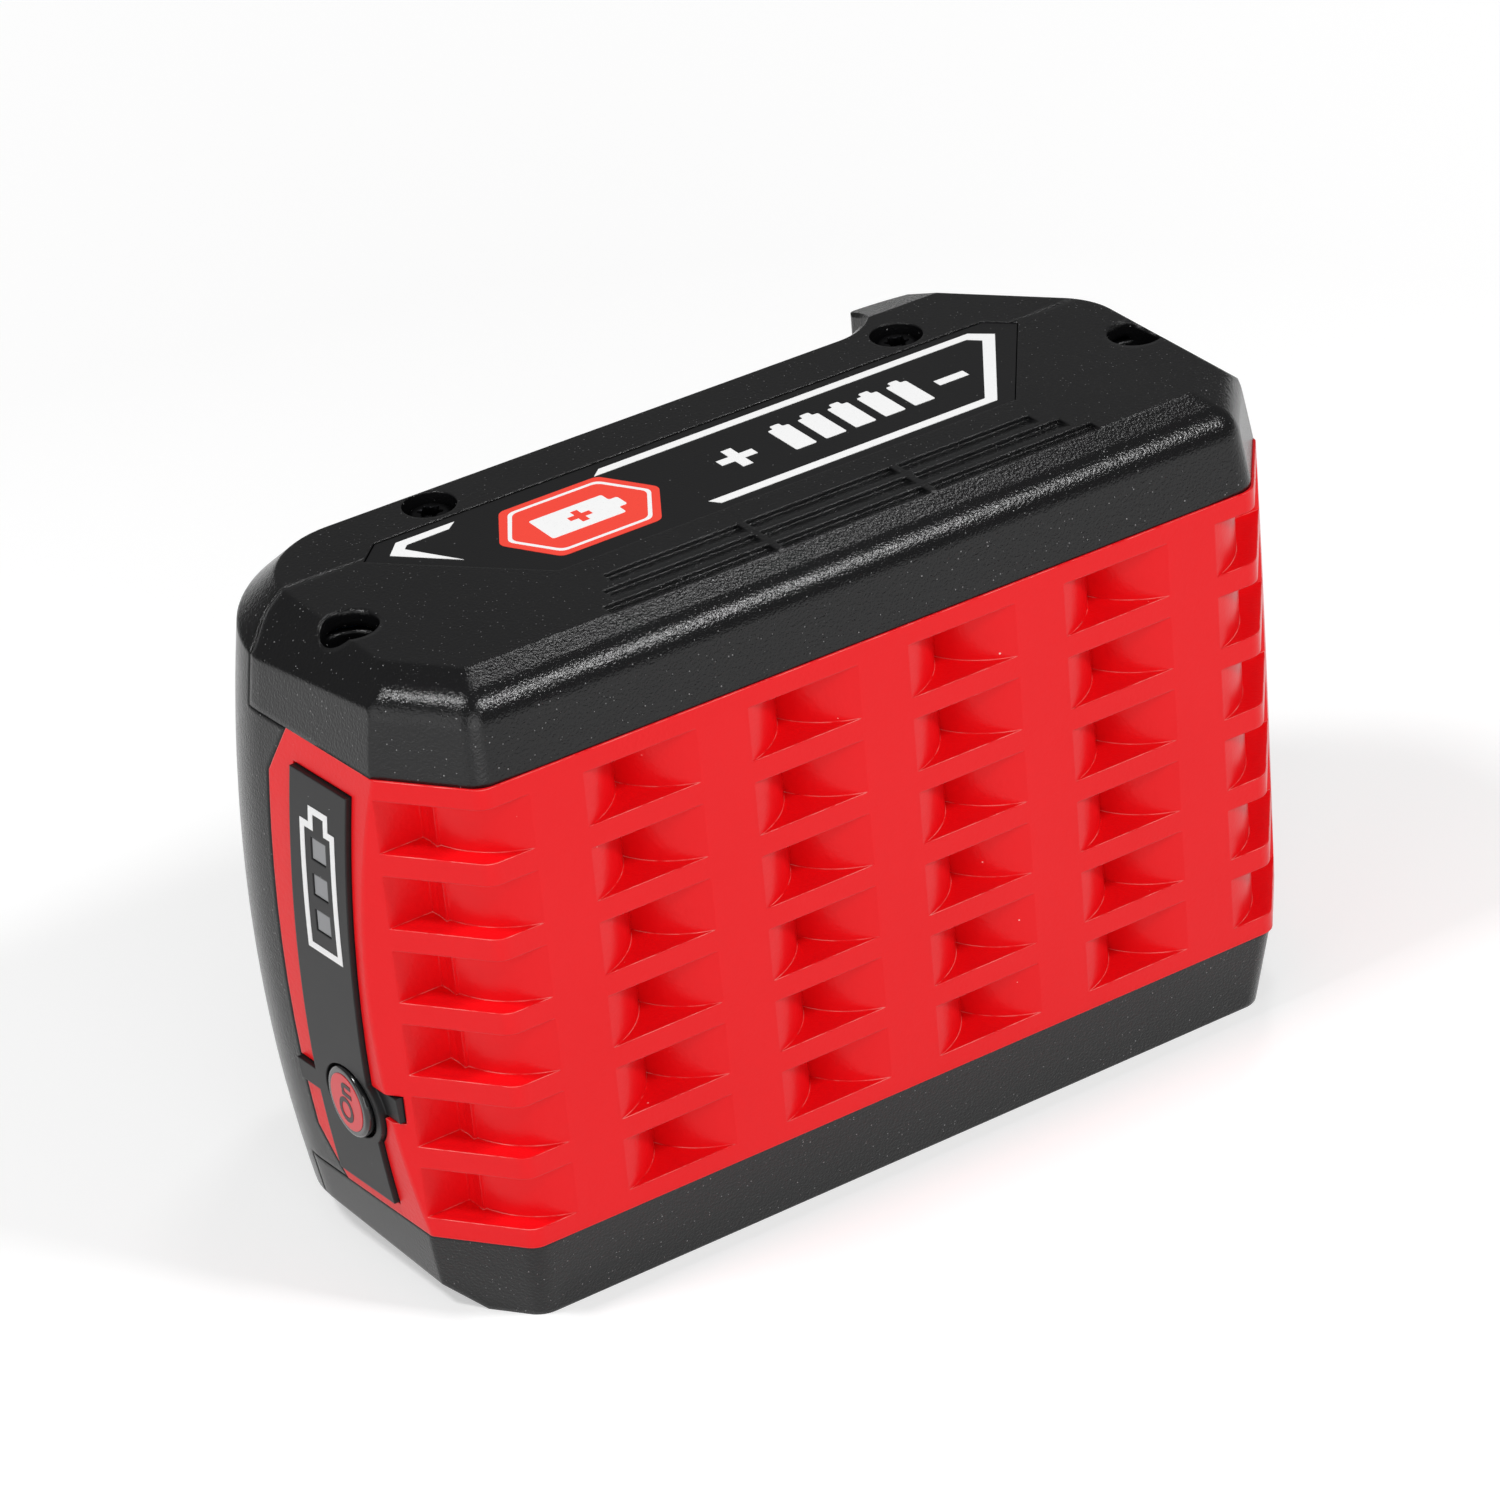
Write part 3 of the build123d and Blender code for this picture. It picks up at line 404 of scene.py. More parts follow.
@dataclass(frozen=True)
class WorkedMetal(Finish):
    """A bare metal, rolled, drawn or oxidised: fine lines along its working way, and clouds."""

    stain: str
    roughness: float
    way: Metal = Metal.NONE
    line: float = 0.08
    depth: float = 0.004
    cloud: float = 3.0

    def surface(self, tree: Tree, place: Socket) -> Surface:
        """Adds the lines and the clouds.

        Args:
            tree: the material's tree.
            place: the object coordinates.

        Returns:
            The layers, the relief and the shader's other inputs.
        """
        drawn = add_node(tree, "ShaderNodeMapping", {"Vector": place, "Scale": self.way.value})
        lines = add_node(tree, "ShaderNodeTexNoise", {
            "Vector": drawn, "Scale": 1 / (STRETCH * self.line * MM), "Detail": 3.0, "Roughness": 0.6,
        })
        scale = 1 / (self.cloud * MM)
        clouds = add_node(tree, "ShaderNodeTexNoise", {"Vector": place, "Scale": scale, "Detail": 4.0})
        rough = add_node(tree, "ShaderNodeMapRange", {
            "Value": clouds, "To Min": self.roughness - 0.08, "To Max": self.roughness + 0.12,
        })
        relief = {"Strength": 0.6, "Distance": self.depth * MM, "Height": lines}
        return [(clouds, self.stain)], relief, {"Roughness": rough, "Metallic": 1.0}


@dataclass(frozen=True)
class SleevedCell(Finish):
    """A nickel-plated steel can in a shrunk PVC sleeve, which leaves the two ends bare."""

    shade: str
    can: str
    low: float = 3.8
    high: float = 68.8
    wrinkle: float = 6.0
    relief: float = 0.1

    def surface(self, tree: Tree, place: Socket) -> Surface:
        """Adds the wrinkled sleeve and the bare ends.

        Args:
            tree: the material's tree.
            place: the object coordinates.

        Returns:
            The layers, the relief and the shader's other inputs.
        """
        height = add_node(tree, "ShaderNodeSeparateXYZ", {0: place}).outputs[2]
        ends = [
            add_node(tree, "ShaderNodeMath", {0: height, 1: limit * MM}, operation=operation)
            for limit, operation in ((self.high, "GREATER_THAN"), (self.low, "LESS_THAN"))
        ]
        bare = add_node(tree, "ShaderNodeMath", dict(enumerate(ends)), operation="ADD")
        scale = 1 / (self.wrinkle * MM)
        wrinkle = add_node(tree, "ShaderNodeTexNoise", {"Vector": place, "Scale": scale, "Detail": 2.0})
        relief = {"Strength": 0.4, "Distance": self.relief * MM, "Height": wrinkle}
        return [(wrinkle, self.shade), (bare, self.can)], relief, {"Metallic": bare, "Roughness": 0.3}


@dataclass(frozen=True)
class CircuitLaminate(Finish):
    """Woven glass laminate under green solder mask, with the copper tracks as low ridges in it."""

    track: str
    pitch: float = 2.4
    copper: float = 0.035
    fold: float = 0.16

    def surface(self, tree: Tree, place: Socket) -> Surface:
        """Adds the tracks.

        Args:
            tree: the material's tree.
            place: the object coordinates.

        Returns:
            The layers, the relief and the shader's other inputs.
        """
        cells = add_node(
            tree, "ShaderNodeTexVoronoi", {"Vector": place, "Scale": 1 / (self.pitch * MM)},
            feature="F2", distance="CHEBYCHEV",
        )
        bands = add_node(tree, "ShaderNodeMath", {0: cells, 1: self.fold}, operation="PINGPONG")
        half = {0: bands, 1: self.fold / 2}
        track = add_node(tree, "ShaderNodeMath", half, operation="GREATER_THAN")
        relief = {"Strength": 0.6, "Distance": self.copper * MM, "Height": track}
        return [(track, self.track)], relief, {"Roughness": 0.28, "Coat Weight": 0.3}


@dataclass(frozen=True)
class FibreSheet(Finish):
    """Barley paper or foam: a matt sheet with fibres or open bubbles in its face."""

    shade: str
    size: float
    depth: float
    roughness: float = 0.85

    def surface(self, tree: Tree, place: Socket) -> Surface:
        """Adds the bubbles, and fibres three times as long.

        Args:
            tree: the material's tree.
            place: the object coordinates.

        Returns:
            The layers, the relief and the shader's other inputs.
        """
        scale = 1 / (self.size * MM)
        bubbles = add_node(tree, "ShaderNodeTexVoronoi", {"Vector": place, "Scale": scale})
        scale = 1 / (3 * self.size * MM)
        fibres = add_node(tree, "ShaderNodeTexNoise", {"Vector": place, "Scale": scale, "Detail": 6.0})
        relief = {"Strength": 0.7, "Distance": self.depth * MM, "Height": bubbles}
        return [(fibres, self.shade)], relief, {"Roughness": self.roughness}


# Which finish each slot of the record gets.
# Every plastic's fourth colour is painted on its upward edges: partly wear, partly a painted highlight.
SLOT_FINISH: dict[str, Finish] = {
    # Glass-filled nylon from a spark-eroded tool: near black, with glitter along every fillet.
    "shell_black": MouldedPlastic(
        "spark-eroded glass-filled nylon", colour="0C0C0D", shade="111112", fleck="8C8C8C",
        rubbed_and_lit="303031", grain=0.3, grain_depth=0.06, roughness=0.2, spread=0.03, fleck_spacing=0.45,
        fleck_share=0.65, fleck_size=0.085, rub_and_sheen=0.12, level=0.33, end_round=0.8,
    ),
    # Rigid ABS from a finely blasted tool: even bright red, satin, with the upward edges of the ribs
    # painted pale, partly rubbed and partly a painted highlight.
    "frame_red": MouldedPlastic(
        "satin moulded red ABS", colour="EE1119", shade="E80D15", fleck="FFD0C8", rubbed_and_lit="FFB4AC",
        grain=0.5, grain_depth=0.03, roughness=0.32, spread=0.05, fleck_spacing=2.4, fleck_share=0.35,
        fleck_size=0.12, round_edge=0.22, rub_and_sheen=0.6, level=0.25,
    ),
    # In-mould polyester film over the recess: the shell's black, with a finer and flatter grain.
    "label_film": MouldedPlastic(
        "in-mould polyester film", colour="101011", shade="141415", fleck="8C8C8C", rubbed_and_lit="303031",
        grain=0.2, grain_depth=0.014, roughness=0.42, spread=0.05, fleck_spacing=0.9, fleck_share=0.4,
        fleck_size=0.09, round_edge=0.1, rub_and_sheen=0.3, level=0.22,
    ),
    # Polycarbonate cover of the gauge: dark grey, fine blasted grain, a little sheen.
    "panel_black": MouldedPlastic(
        "fine-blasted polycarbonate cover", colour="19191A", shade="1E1E1F", fleck="B5B5B5",
        rubbed_and_lit="48484A", grain=0.14, grain_depth=0.007, roughness=0.4, spread=0.05, fleck_spacing=0.9,
        fleck_share=0.3, fleck_size=0.07, round_edge=0.25, rub_and_sheen=0.3, level=0.3,
    ),
    # Frosted acrylic light guide: mid grey while the lights are off, cloudy inside.
    "window_grey": MouldedPlastic(
        "frosted acrylic light guide", colour="77787B", shade="8F9092", fleck="B0B0B0", rubbed_and_lit="A5A6A8",
        grain=0.2, grain_depth=0.004, roughness=0.35, spread=0.06, fleck_share=0.1, round_edge=0.12,
        rub_and_sheen=0.2, coat=0.3, ior=1.49,
    ),
    # Polished ABS button: black and shiny, so that its rim carries one long highlight.
    "button_black": MouldedPlastic(
        "polished black ABS button", colour="0E0E0F", shade="131314", fleck="606060", rubbed_and_lit="2A2A2B",
        grain=0.6, grain_depth=0.002, roughness=0.16, spread=0.04, fleck_share=0.1, round_edge=0.25,
        rub_and_sheen=0.2, coat=0.5,
    ),
    # Red inlay of the button: the frame's red, glossier and a touch deeper.
    "button_red": MouldedPlastic(
        "gloss red ABS inlay", colour="E02A33", shade="D8252F", fleck="F0A0A0", rubbed_and_lit="EE6A6A",
        grain=0.4, grain_depth=0.003, roughness=0.28, spread=0.04, fleck_share=0.15, round_edge=0.12,
        rub_and_sheen=0.2,
    ),
    # Acetal latch: dense black, silky, with no fibre in it.
    "latch_black": MouldedPlastic(
        "black acetal latch", colour="1A1A1B", shade="202021", fleck="505050", rubbed_and_lit="3E3E3F",
        grain=0.3, grain_depth=0.005, roughness=0.33, spread=0.05, fleck_share=0.1, round_edge=0.25,
    ),
    # Red release button: satin ABS like the frame.
    "release_red": MouldedPlastic(
        "satin red ABS release button", colour="E61E25", shade="DE1A21", fleck="FFB3A8",
        rubbed_and_lit="FF8F8A", grain=0.4, grain_depth=0.006, roughness=0.36, spread=0.05, fleck_share=0.2,
    ),
    # Terminal block: glass-filled polyester, dull black with pale fibre flecks.
    "terminal_black": MouldedPlastic(
        "glass-filled polyester block", colour="1D1D1E", shade="252526", fleck="808080",
        rubbed_and_lit="404041", grain=0.3, grain_depth=0.01, roughness=0.5, spread=0.06, fleck_spacing=0.7,
        round_edge=0.2, rub_and_sheen=0.3,
    ),
    # Holder and switch body: plain moulded black plastic.
    "holder_black": MouldedPlastic(
        "plain black polycarbonate holder", colour="1C1C1D", shade="212122", fleck="555555",
        rubbed_and_lit="363637", grain=0.35, grain_depth=0.005, roughness=0.4, fleck_share=0.1,
        round_edge=0.15, rub_and_sheen=0.2,
    ),
    # Chip packages: matt black epoxy.
    "chip_black": MouldedPlastic(
        "matt epoxy package", colour="161617", shade="1C1C1D", fleck="4A4A4A", rubbed_and_lit="303031",
        grain=0.15, grain_depth=0.008, roughness=0.6, fleck_share=0.3, round_edge=0.1, rub_and_sheen=0.2,
    ),
    # Light lenses: milky yellowish resin.
    "led_white": MouldedPlastic(
        "milky resin lens", colour="E8E4CC", shade="DED9BC", fleck="F4F1DD", rubbed_and_lit="F4F1DD", grain=0.3,
        grain_depth=0.003, roughness=0.25, fleck_share=0.1, round_edge=0.1, rub_and_sheen=0.1, coat=0.4,
    ),
    # Switch dome: soft matt silicone rubber.
    "dome_rubber": MouldedPlastic(
        "silicone rubber dome", colour="3A3A3C", shade="424244", fleck="5A5A5A", rubbed_and_lit="4C4C4E",
        grain=0.2, grain_depth=0.006, roughness=0.65, fleck_share=0.1, round_edge=0.1, rub_and_sheen=0.1,
        ior=1.41,
    ),
    # Black-oxide steel screws: nearly as dark as the shell, with a soft gleam on their domes.
    "screw_steel": WorkedMetal("black-oxide steel", "1C1C1E", "121213", 0.42, line=0.05, depth=0.006),
    # Rolled nickel: a warm silver, with fine lines along the strip.
    "nickel": WorkedMetal("rolled nickel strip", "C6C0B4", "A8A296", 0.3, Metal.ALONG_X),
    # Stamped brass: yellow, its rolling lines upright.
    "contact_brass": WorkedMetal("stamped brass clip", "D8AE5E", "B98F45", 0.26, Metal.ALONG_Z),
    # Drawn spring wire: a bright, clean grey.
    "spring_steel": WorkedMetal("drawn spring wire", "B9BABD", "97989B", 0.24),
    # Barley paper: pale buff, fibrous and matt.
    "insulator": FibreSheet("barley insulating paper", "D8D2B4", "C4BD9C", size=0.3, depth=0.02),
    # Closed-cell foam: near black and matt, pitted by its bubbles.
    "foam": FibreSheet("closed-cell foam", "232324", "2E2E30", size=0.35, depth=0.08),
    # Solder mask over woven glass: glossy green, a shade lighter over the copper.
    "board_green": CircuitLaminate("solder mask over glass laminate", "0E5A30", "1F7A42"),
    # Shrunk PVC sleeve: a semi-gloss blue film in soft wrinkles, with bare nickel at both ends.
    "cell_wrap": SleevedCell("shrunk sleeve over nickel-plated can", "2C6E9C", "245D86", "C4BFB4"),
}
# Screen and pad-print inks: flat, even and opaque, a little satin.
WHITE_INK = ScreenInk("white screen ink", "F6F6F6", thin="DCDCDC")
RED_INK = ScreenInk("red screen ink", "F5412F", thin="DB3527")
BLACK_INK = ScreenInk("black pad-print ink", "2A1416", thin="4A1A1E", roughness=0.4)


class Wardrobe:
    """Builds each finish once, and puts it on the CAD nodes and on the new pieces."""

    def __init__(self) -> None:
        """Starts empty."""
        self._made: dict[str, bpy.types.Material] = {}

    def get(self, finish: Finish) -> bpy.types.Material:
        """Gives the material of a finish.

        Args:
            finish: any of the finishes above.

        Returns:
            Its material, the same one each time.
        """
        if finish.name not in self._made:
            self._made[finish.name] = finish.material()
        return self._made[finish.name]

    def dress(self, node: bpy.types.Object, slot: str) -> None:
        """Puts a slot's finish on a CAD node.

        Args:
            node: the CAD node's object.
            slot: the record's material slot.
        """
        material = self.get(SLOT_FINISH[slot])
        if not node.material_slots:
            node.data.materials.append(material)
        for place in node.material_slots:
            place.material = material

    def add_piece(
        self, name: str, mesh: Mesh, slot: str, ink: Finish | None = None, body: str = "pack"
    ) -> bpy.types.Object:
        """Links a finished mesh into the scene and lets it ride on a body.

        Args:
            name: the piece's name.
            mesh: its mesh, in place, in metres.
            slot: the record's material slot that names its finish.
            ink: what it is printed in, where it isn't the slot's own finish.
            body: the CAD body that carries it.

        Returns:
            The piece's object.
        """
        mesh.name = name
        mesh.materials.clear()
        mesh.materials.append(self.get(ink or SLOT_FINISH[slot]))
        piece = new_object(name, mesh)
        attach(piece, body)
        LOG.info("%s: %d faces on %s", name, len(mesh.polygons), body)
        return piece


def closed_mesh(bm: bmesh.types.BMesh, name: str, sharp: float | None = None) -> Mesh:
    """Turns a bmesh into a mesh whose faces point outwards.

    Args:
        bm: the closed shape, which is used up.
        name: the mesh's name.
        sharp: from which angle in degrees an edge stays sharp, on a shape that is smooth.

    Returns:
        The mesh.
    """
    bmesh.ops.recalc_face_normals(bm, faces=bm.faces[:])
    mesh = bpy.data.meshes.new(name)
    bm.to_mesh(mesh)
    bm.free()
    if sharp is not None:
        mesh.set_sharp_from_angle(angle=math.radians(sharp))
    return mesh


def printed_mesh(
    shapes: Sequence[Sequence[Loop]], ink: float, place: Callable[[float, float, float], Vector],
    bend: float = 0.0,
) -> Mesh:
    """Makes a thin layer of print from flat outlines.

    Args:
        shapes: for each closed shape, its outer loop and then the loops of its holes.
        ink: the layer's thickness in millimetres.
        place: puts (across, along, height) on the surface that carries the print.
        bend: the longest face along the second axis, or zero on a flat surface.

    Returns:
        The closed mesh, in place.
    """
    bm = bmesh.new()
    for loops in shapes:
        fresh = []
        for loop in loops:
            corners = [bm.verts.new((u, v, PRINT_FOOT)) for u, v in loop]
            fresh += [bm.edges.new((a, b)) for a, b in zip(corners, corners[1:] + corners[:1])]
        bmesh.ops.triangle_fill(bm, use_beauty=True, use_dissolve=False, edges=fresh)
    if bend:
        low = min(v.co.y for v in bm.verts)
        high = max(v.co.y for v in bm.verts)
        cuts = int((high - low) / bend)
        for number in range(1, cuts):
            bmesh.ops.bisect_plane(
                bm, geom=bm.verts[:] + bm.edges[:] + bm.faces[:],
                plane_co=(0, low + (high - low) * number / cuts, 0), plane_no=(0, 1, 0),
            )
    raised = bmesh.ops.extrude_face_region(bm, geom=bm.faces[:])
    for item in raised["geom"]:
        if isinstance(item, bmesh.types.BMVert):
            item.co.z = ink
    for vertex in bm.verts:
        vertex.co = place(*vertex.co)
    return closed_mesh(bm, "print")


def rounded(points: Loop, radius: float, steps: int = 5) -> list[Point]:
    """Rounds the corners of a closed outline.

    Args:
        points: the corners in order.
        radius: how far along each side the rounding starts.
        steps: how many short sides replace a corner.

    Returns:
        The finer outline.
    """
    outline: list[Point] = []
    for number, point in enumerate(points):
        corner = Vector(point)
        start, end = (
            corner + (Vector(points[other % len(points)]) - corner).normalized() * radius
            for other in (number - 1, number + 1)
        )
        for step in range(steps + 1):
            t = step / steps
            spot = start * (1 - t) ** 2 + corner * 2 * t * (1 - t) + end * t**2
            outline.append((spot.x, spot.y))
    return outline


def plus_sign(x: float, y: float, half: float, arm: float) -> list[Point]:
    """Gives the outline of a plus sign, a quarter at a time.

    Args:
        x: its centre.
        y: its centre.
        half: half its size.
        arm: half its stroke.

    Returns:
        The twelve corners.
    """
    quarter = [(-half, -arm), (-arm, -arm), (-arm, -half)]
    outline: list[Point] = []
    for _ in range(4):
        outline += [(x + u, y + v) for u, v in quarter]
        quarter = [(-v, u) for u, v in quarter]
    return outline


@dataclass
class LabelGraphics:
    """The white lines, the cell symbol and the badge printed on one label plate."""

    side: Side
    top: float = 72.5
    ink: float = 0.04
    cell_count: int = 5
    cell_width: float = 2.5
    cell_height: float = 5.4
    cell_gap: float = 1.15
    cap_inset: float = 0.27
    cap_height: float = 0.75
    cells_start: float = 6.1
    motif_low: float = 23.0
    plus_x: float = 0.6
    sign_size: float = 4.3
    sign_stroke: float = 1.2
    minus_gap: float = 0.9
    minus_share: float = 0.85
    badge_centre: Point = (-18.2, 25.6)
    badge_half: Point = (9.4, 6.2)
    badge_cut: float = 3.6
    badge_line: float = 0.42
    badge_margin: float = 0.85
    badge_round: float = 0.7
    badge_plus: Point = (1.3, 0.42)

    def place(self, u: float, v: float, height: float) -> Vector:
        """Puts a printed point on this side's plate.

        Args:
            u: along the pack.
            v: depth from the ribbed front.
            height: above the plate.

        Returns:
            The point in metres.
        """
        level = self.top + height
        return at(u, v, level if self.side is Side.UPPER else PACK_WIDTH - level)

    def chevron(self) -> list[Loop]:
        """Gives the pointed mark at the plate's blunt end."""
        return [[
            (-35.2, 33.1), (-28.4, 33.1), (-29.6, 32.1), (-34.5, 32.0), (-35.2, 31.3), (-31.8, 25.4),
            (-37.0, 31.1),
        ]]

    def pinstripe(self) -> list[Loop]:
        """Gives the line that runs round the pointed end of the plate."""
        return [[
            (-11.4, 33.05), (34.3, 33.1), (36.4, 31.1), (27.7, 18.35), (-6.0, 18.35), (-6.8, 19.5),
            (26.95, 19.5), (34.55, 30.75), (33.4, 32.0), (-12.6, 31.95),
        ]]

    def cell_symbols(self) -> list[list[Loop]]:
        """Gives a plus sign, a row of cells with their caps, and a minus sign.

        Returns:
            One shape for each.
        """
        low = self.motif_low
        top = low + self.cell_height
        tip = top + self.cap_height
        middle = low + self.cell_height / 2
        arm = self.sign_stroke / 2
        cap = self.cell_width * self.cap_inset
        pitch = self.cell_width + self.cell_gap
        shapes: list[list[Loop]] = [[plus_sign(self.plus_x, middle, self.sign_size / 2, arm)]]
        for number in range(self.cell_count):
            left = self.cells_start + number * pitch
            right = left + self.cell_width
            shapes.append([rounded([
                (left, low), (right, low), (right, top), (right - cap, top), (right - cap, tip),
                (left + cap, tip), (left + cap, top), (left, top),
            ], 0.22, 3)])
        start = self.cells_start + self.cell_count * pitch + self.minus_gap
        end = start + self.sign_size * self.minus_share
        shapes.append([[
            (start, middle - arm), (end, middle - arm), (end, middle - arm + self.sign_stroke),
            (start, middle - arm + self.sign_stroke),
        ]])
        return shapes

    def hexagon(self, inset: float) -> list[Point]:
        """Gives the badge's outline.

        Args:
            inset: how far inside the badge's edge.

        Returns:
            The outline's points.
        """
        cx, cy = self.badge_centre
        a = self.badge_half[0] - inset * 1.15
        b = self.badge_half[1] - inset
        flat = a - (self.badge_cut - inset * 0.5)
        return rounded([
            (cx - a, cy), (cx - flat, cy - b), (cx + flat, cy - b), (cx + a, cy), (cx + flat, cy + b),
            (cx - flat, cy + b),
        ], self.badge_round)

    def badge_white(self) -> list[list[Loop]]:
        """Gives the badge's inner line and its cell with a plus in it.

        Returns:
            One shape for each.
        """
        cx, cy = self.badge_centre
        ring: list[Loop] = [
            self.hexagon(self.badge_margin), self.hexagon(self.badge_margin + self.badge_line),
        ]
        cell = rounded([
            (cx - 4.6, cy - 2.4), (cx + 4.0, cy - 2.4), (cx + 4.0, cy - 1.0), (cx + 5.0, cy - 1.0),
            (cx + 5.0, cy + 1.0), (cx + 4.0, cy + 1.0), (cx + 4.0, cy + 2.4), (cx - 4.6, cy + 2.4),
        ], 0.3, 3)
        return [ring, [cell, plus_sign(cx, cy, *self.badge_plus)]]

    def build(self, wardrobe: Wardrobe) -> None:
        """Prints everything on the plate, the red of the badge thinner than the white on it.

        Args:
            wardrobe: adds the layers in their inks.
        """
        white = [self.chevron(), self.pinstripe(), *self.cell_symbols()]
        for label, shapes, thickness, ink in (
            ("label_lines", white, self.ink, WHITE_INK),
            ("badge", [[self.hexagon(0.0)]], self.ink * 0.6, RED_INK),
            ("badge_lines", self.badge_white(), self.ink, WHITE_INK),
        ):
            layer = printed_mesh(shapes, thickness, self.place)
            wardrobe.add_piece(f"{self.side.value}_{label}", layer, "label_film", ink)


@dataclass
class GaugeGraphics:
    """The battery outline on the curved gauge cover and the word on the test button."""

    carrier: str = "gauge_panel"
    ink: float = 0.04
    line: float = 0.75
    near: float = 14.5
    far: float = 20.4
    low: float = 40.2
    high: float = 54.7
    nub_near: float = 15.6
    nub_far: float = 18.9
    nub_high: float = 56.5
    outside: float = -80.0
    face_length: float = 1.0
    button_depth: float = 17.3
    button_z: float = 23.0
    button_face: float = -56.45
    text_size: float = 3.7
    text_swell: float = 0.09

    def outline(self, inset: float) -> list[Point]:
        """Gives the battery's outline.

        Args:
            inset: how far inside its outer edge.

        Returns:
            Depth and height of each corner.
        """
        near, far, high = self.near + inset, self.far - inset, self.high - inset
        nub_near, nub_far, tip = self.nub_near + inset, self.nub_far - inset, self.nub_high - inset
        return [
            (near, self.low + inset), (far, self.low + inset), (far, high), (nub_far, high),
            (nub_far, tip), (nub_near, tip), (nub_near, high), (near, high),
        ]

    def build(self, wardrobe: Wardrobe, nodes: dict[str, bpy.types.Object]) -> None:
        """Prints the outline and the word.

        Args:
            wardrobe: adds the layers in their inks.
            nodes: the CAD nodes by name.
        """
        carrier = nodes[self.carrier].data
        surface = BVHTree.FromPolygons(
            [v.co.copy() for v in carrier.vertices], [tuple(p.vertices) for p in carrier.polygons]
        )

        def place(depth: float, z: float, height: float) -> Vector:
            """Puts a printed point on the cover.

            Args:
                depth: from the ribbed front.
                z: above the floor.
                height: above the cover.

            Returns:
                The point in metres.
            """
            spot, normal, _, _ = surface.ray_cast(at(self.outside, depth, z), Vector((1, 0, 0)))
            if normal.x > 0:
                normal = -normal
            return spot + normal * height * MM

        shapes = [[self.outline(0.0), self.outline(self.line)]]
        layer = printed_mesh(shapes, self.ink, place, self.face_length)
        wardrobe.add_piece("gauge_outline", layer, "label_film", WHITE_INK)
        wardrobe.add_piece(
            "test_button_word", self.word(), "button_black", BLACK_INK, "test_button_body"
        )

    def word(self) -> Mesh:
        """Makes the word on the button, read with the pack standing on its end.

        Returns:
            The word's mesh, in place.
        """
        curve = bpy.data.curves.new("test_button_word", "FONT")
        curve.body = "On"
        curve.align_x = "CENTER"
        curve.align_y = "CENTER"
        curve.size = self.text_size * MM
        curve.extrude = self.ink * MM
        curve.offset = self.text_swell * MM
        curve.resolution_u = 4
        flat = new_object("test_button_word", curve)
        graph = bpy.context.evaluated_depsgraph_get()
        mesh = bpy.data.meshes.new_from_object(flat.evaluated_get(graph))
        bpy.data.objects.remove(flat)
        bpy.data.curves.remove(curve)
        turn = Matrix(((0, 0, -1), (0, 1, 0), (1, 0, 0))).to_4x4()
        centre = Matrix.Translation(at(self.button_face, self.button_depth, self.button_z))
        mesh.transform(centre @ turn)
        return mesh


class GrowthTree:
    """A Geometry Nodes tree with named inputs, which ends in real and dressed geometry."""

    def __init__(self, name: str, points: str, kinds: dict[str, str]) -> None:
        """Opens the tree and names its inputs.

        Args:
            name: the tree's name.
            points: what the points are called that it starts from.
            kinds: each other input's name, and the last word of its socket's type.
        """
        self.tree = bpy.data.node_groups.new(name, "GeometryNodeTree")
        face = self.tree.interface
        face.new_socket("Geometry", in_out="OUTPUT", socket_type="NodeSocketGeometry")
        face.new_socket(points, in_out="INPUT", socket_type="NodeSocketGeometry")
        self.sockets = {
            label: face.new_socket(label, in_out="INPUT", socket_type="NodeSocket" + kind).identifier
            for label, kind in kinds.items()
        }
        self.source = add_node(self.tree, "NodeGroupInput").outputs

    def close(self, shape: Any) -> None:
        """Ends the tree: its instances are made real and get the finish.

        Args:
            shape: the node that gives the instances.
        """
        real = add_node(self.tree, "GeometryNodeRealizeInstances", {0: shape})
        dressed = add_node(self.tree, "GeometryNodeSetMaterial", {
            "Geometry": real, "Material": self.source["Finish"],
        })
        add_node(self.tree, "NodeGroupOutput", {0: dressed})

    def grow(self, name: str, base: Mesh, inputs: dict[str, Any]) -> Mesh:
        """Runs the tree on a mesh and keeps the plain result.

        Args:
            name: what to call the object that carries it meanwhile.
            base: the mesh that the tree starts from.
            inputs: input name to value.

        Returns:
            The resulting mesh.
        """
        carrier = new_object(name + "_base", base)
        modifier = carrier.modifiers.new("build", "NODES")
        modifier.node_group = self.tree
        for label, value in inputs.items():
            modifier[self.sockets[label]] = value
        graph = bpy.context.evaluated_depsgraph_get()
        mesh = bpy.data.meshes.new_from_object(
            carrier.evaluated_get(graph), preserve_all_data_layers=True, depsgraph=graph
        )
        carrier.modifiers.remove(modifier)
        bpy.data.objects.remove(carrier)
        return mesh


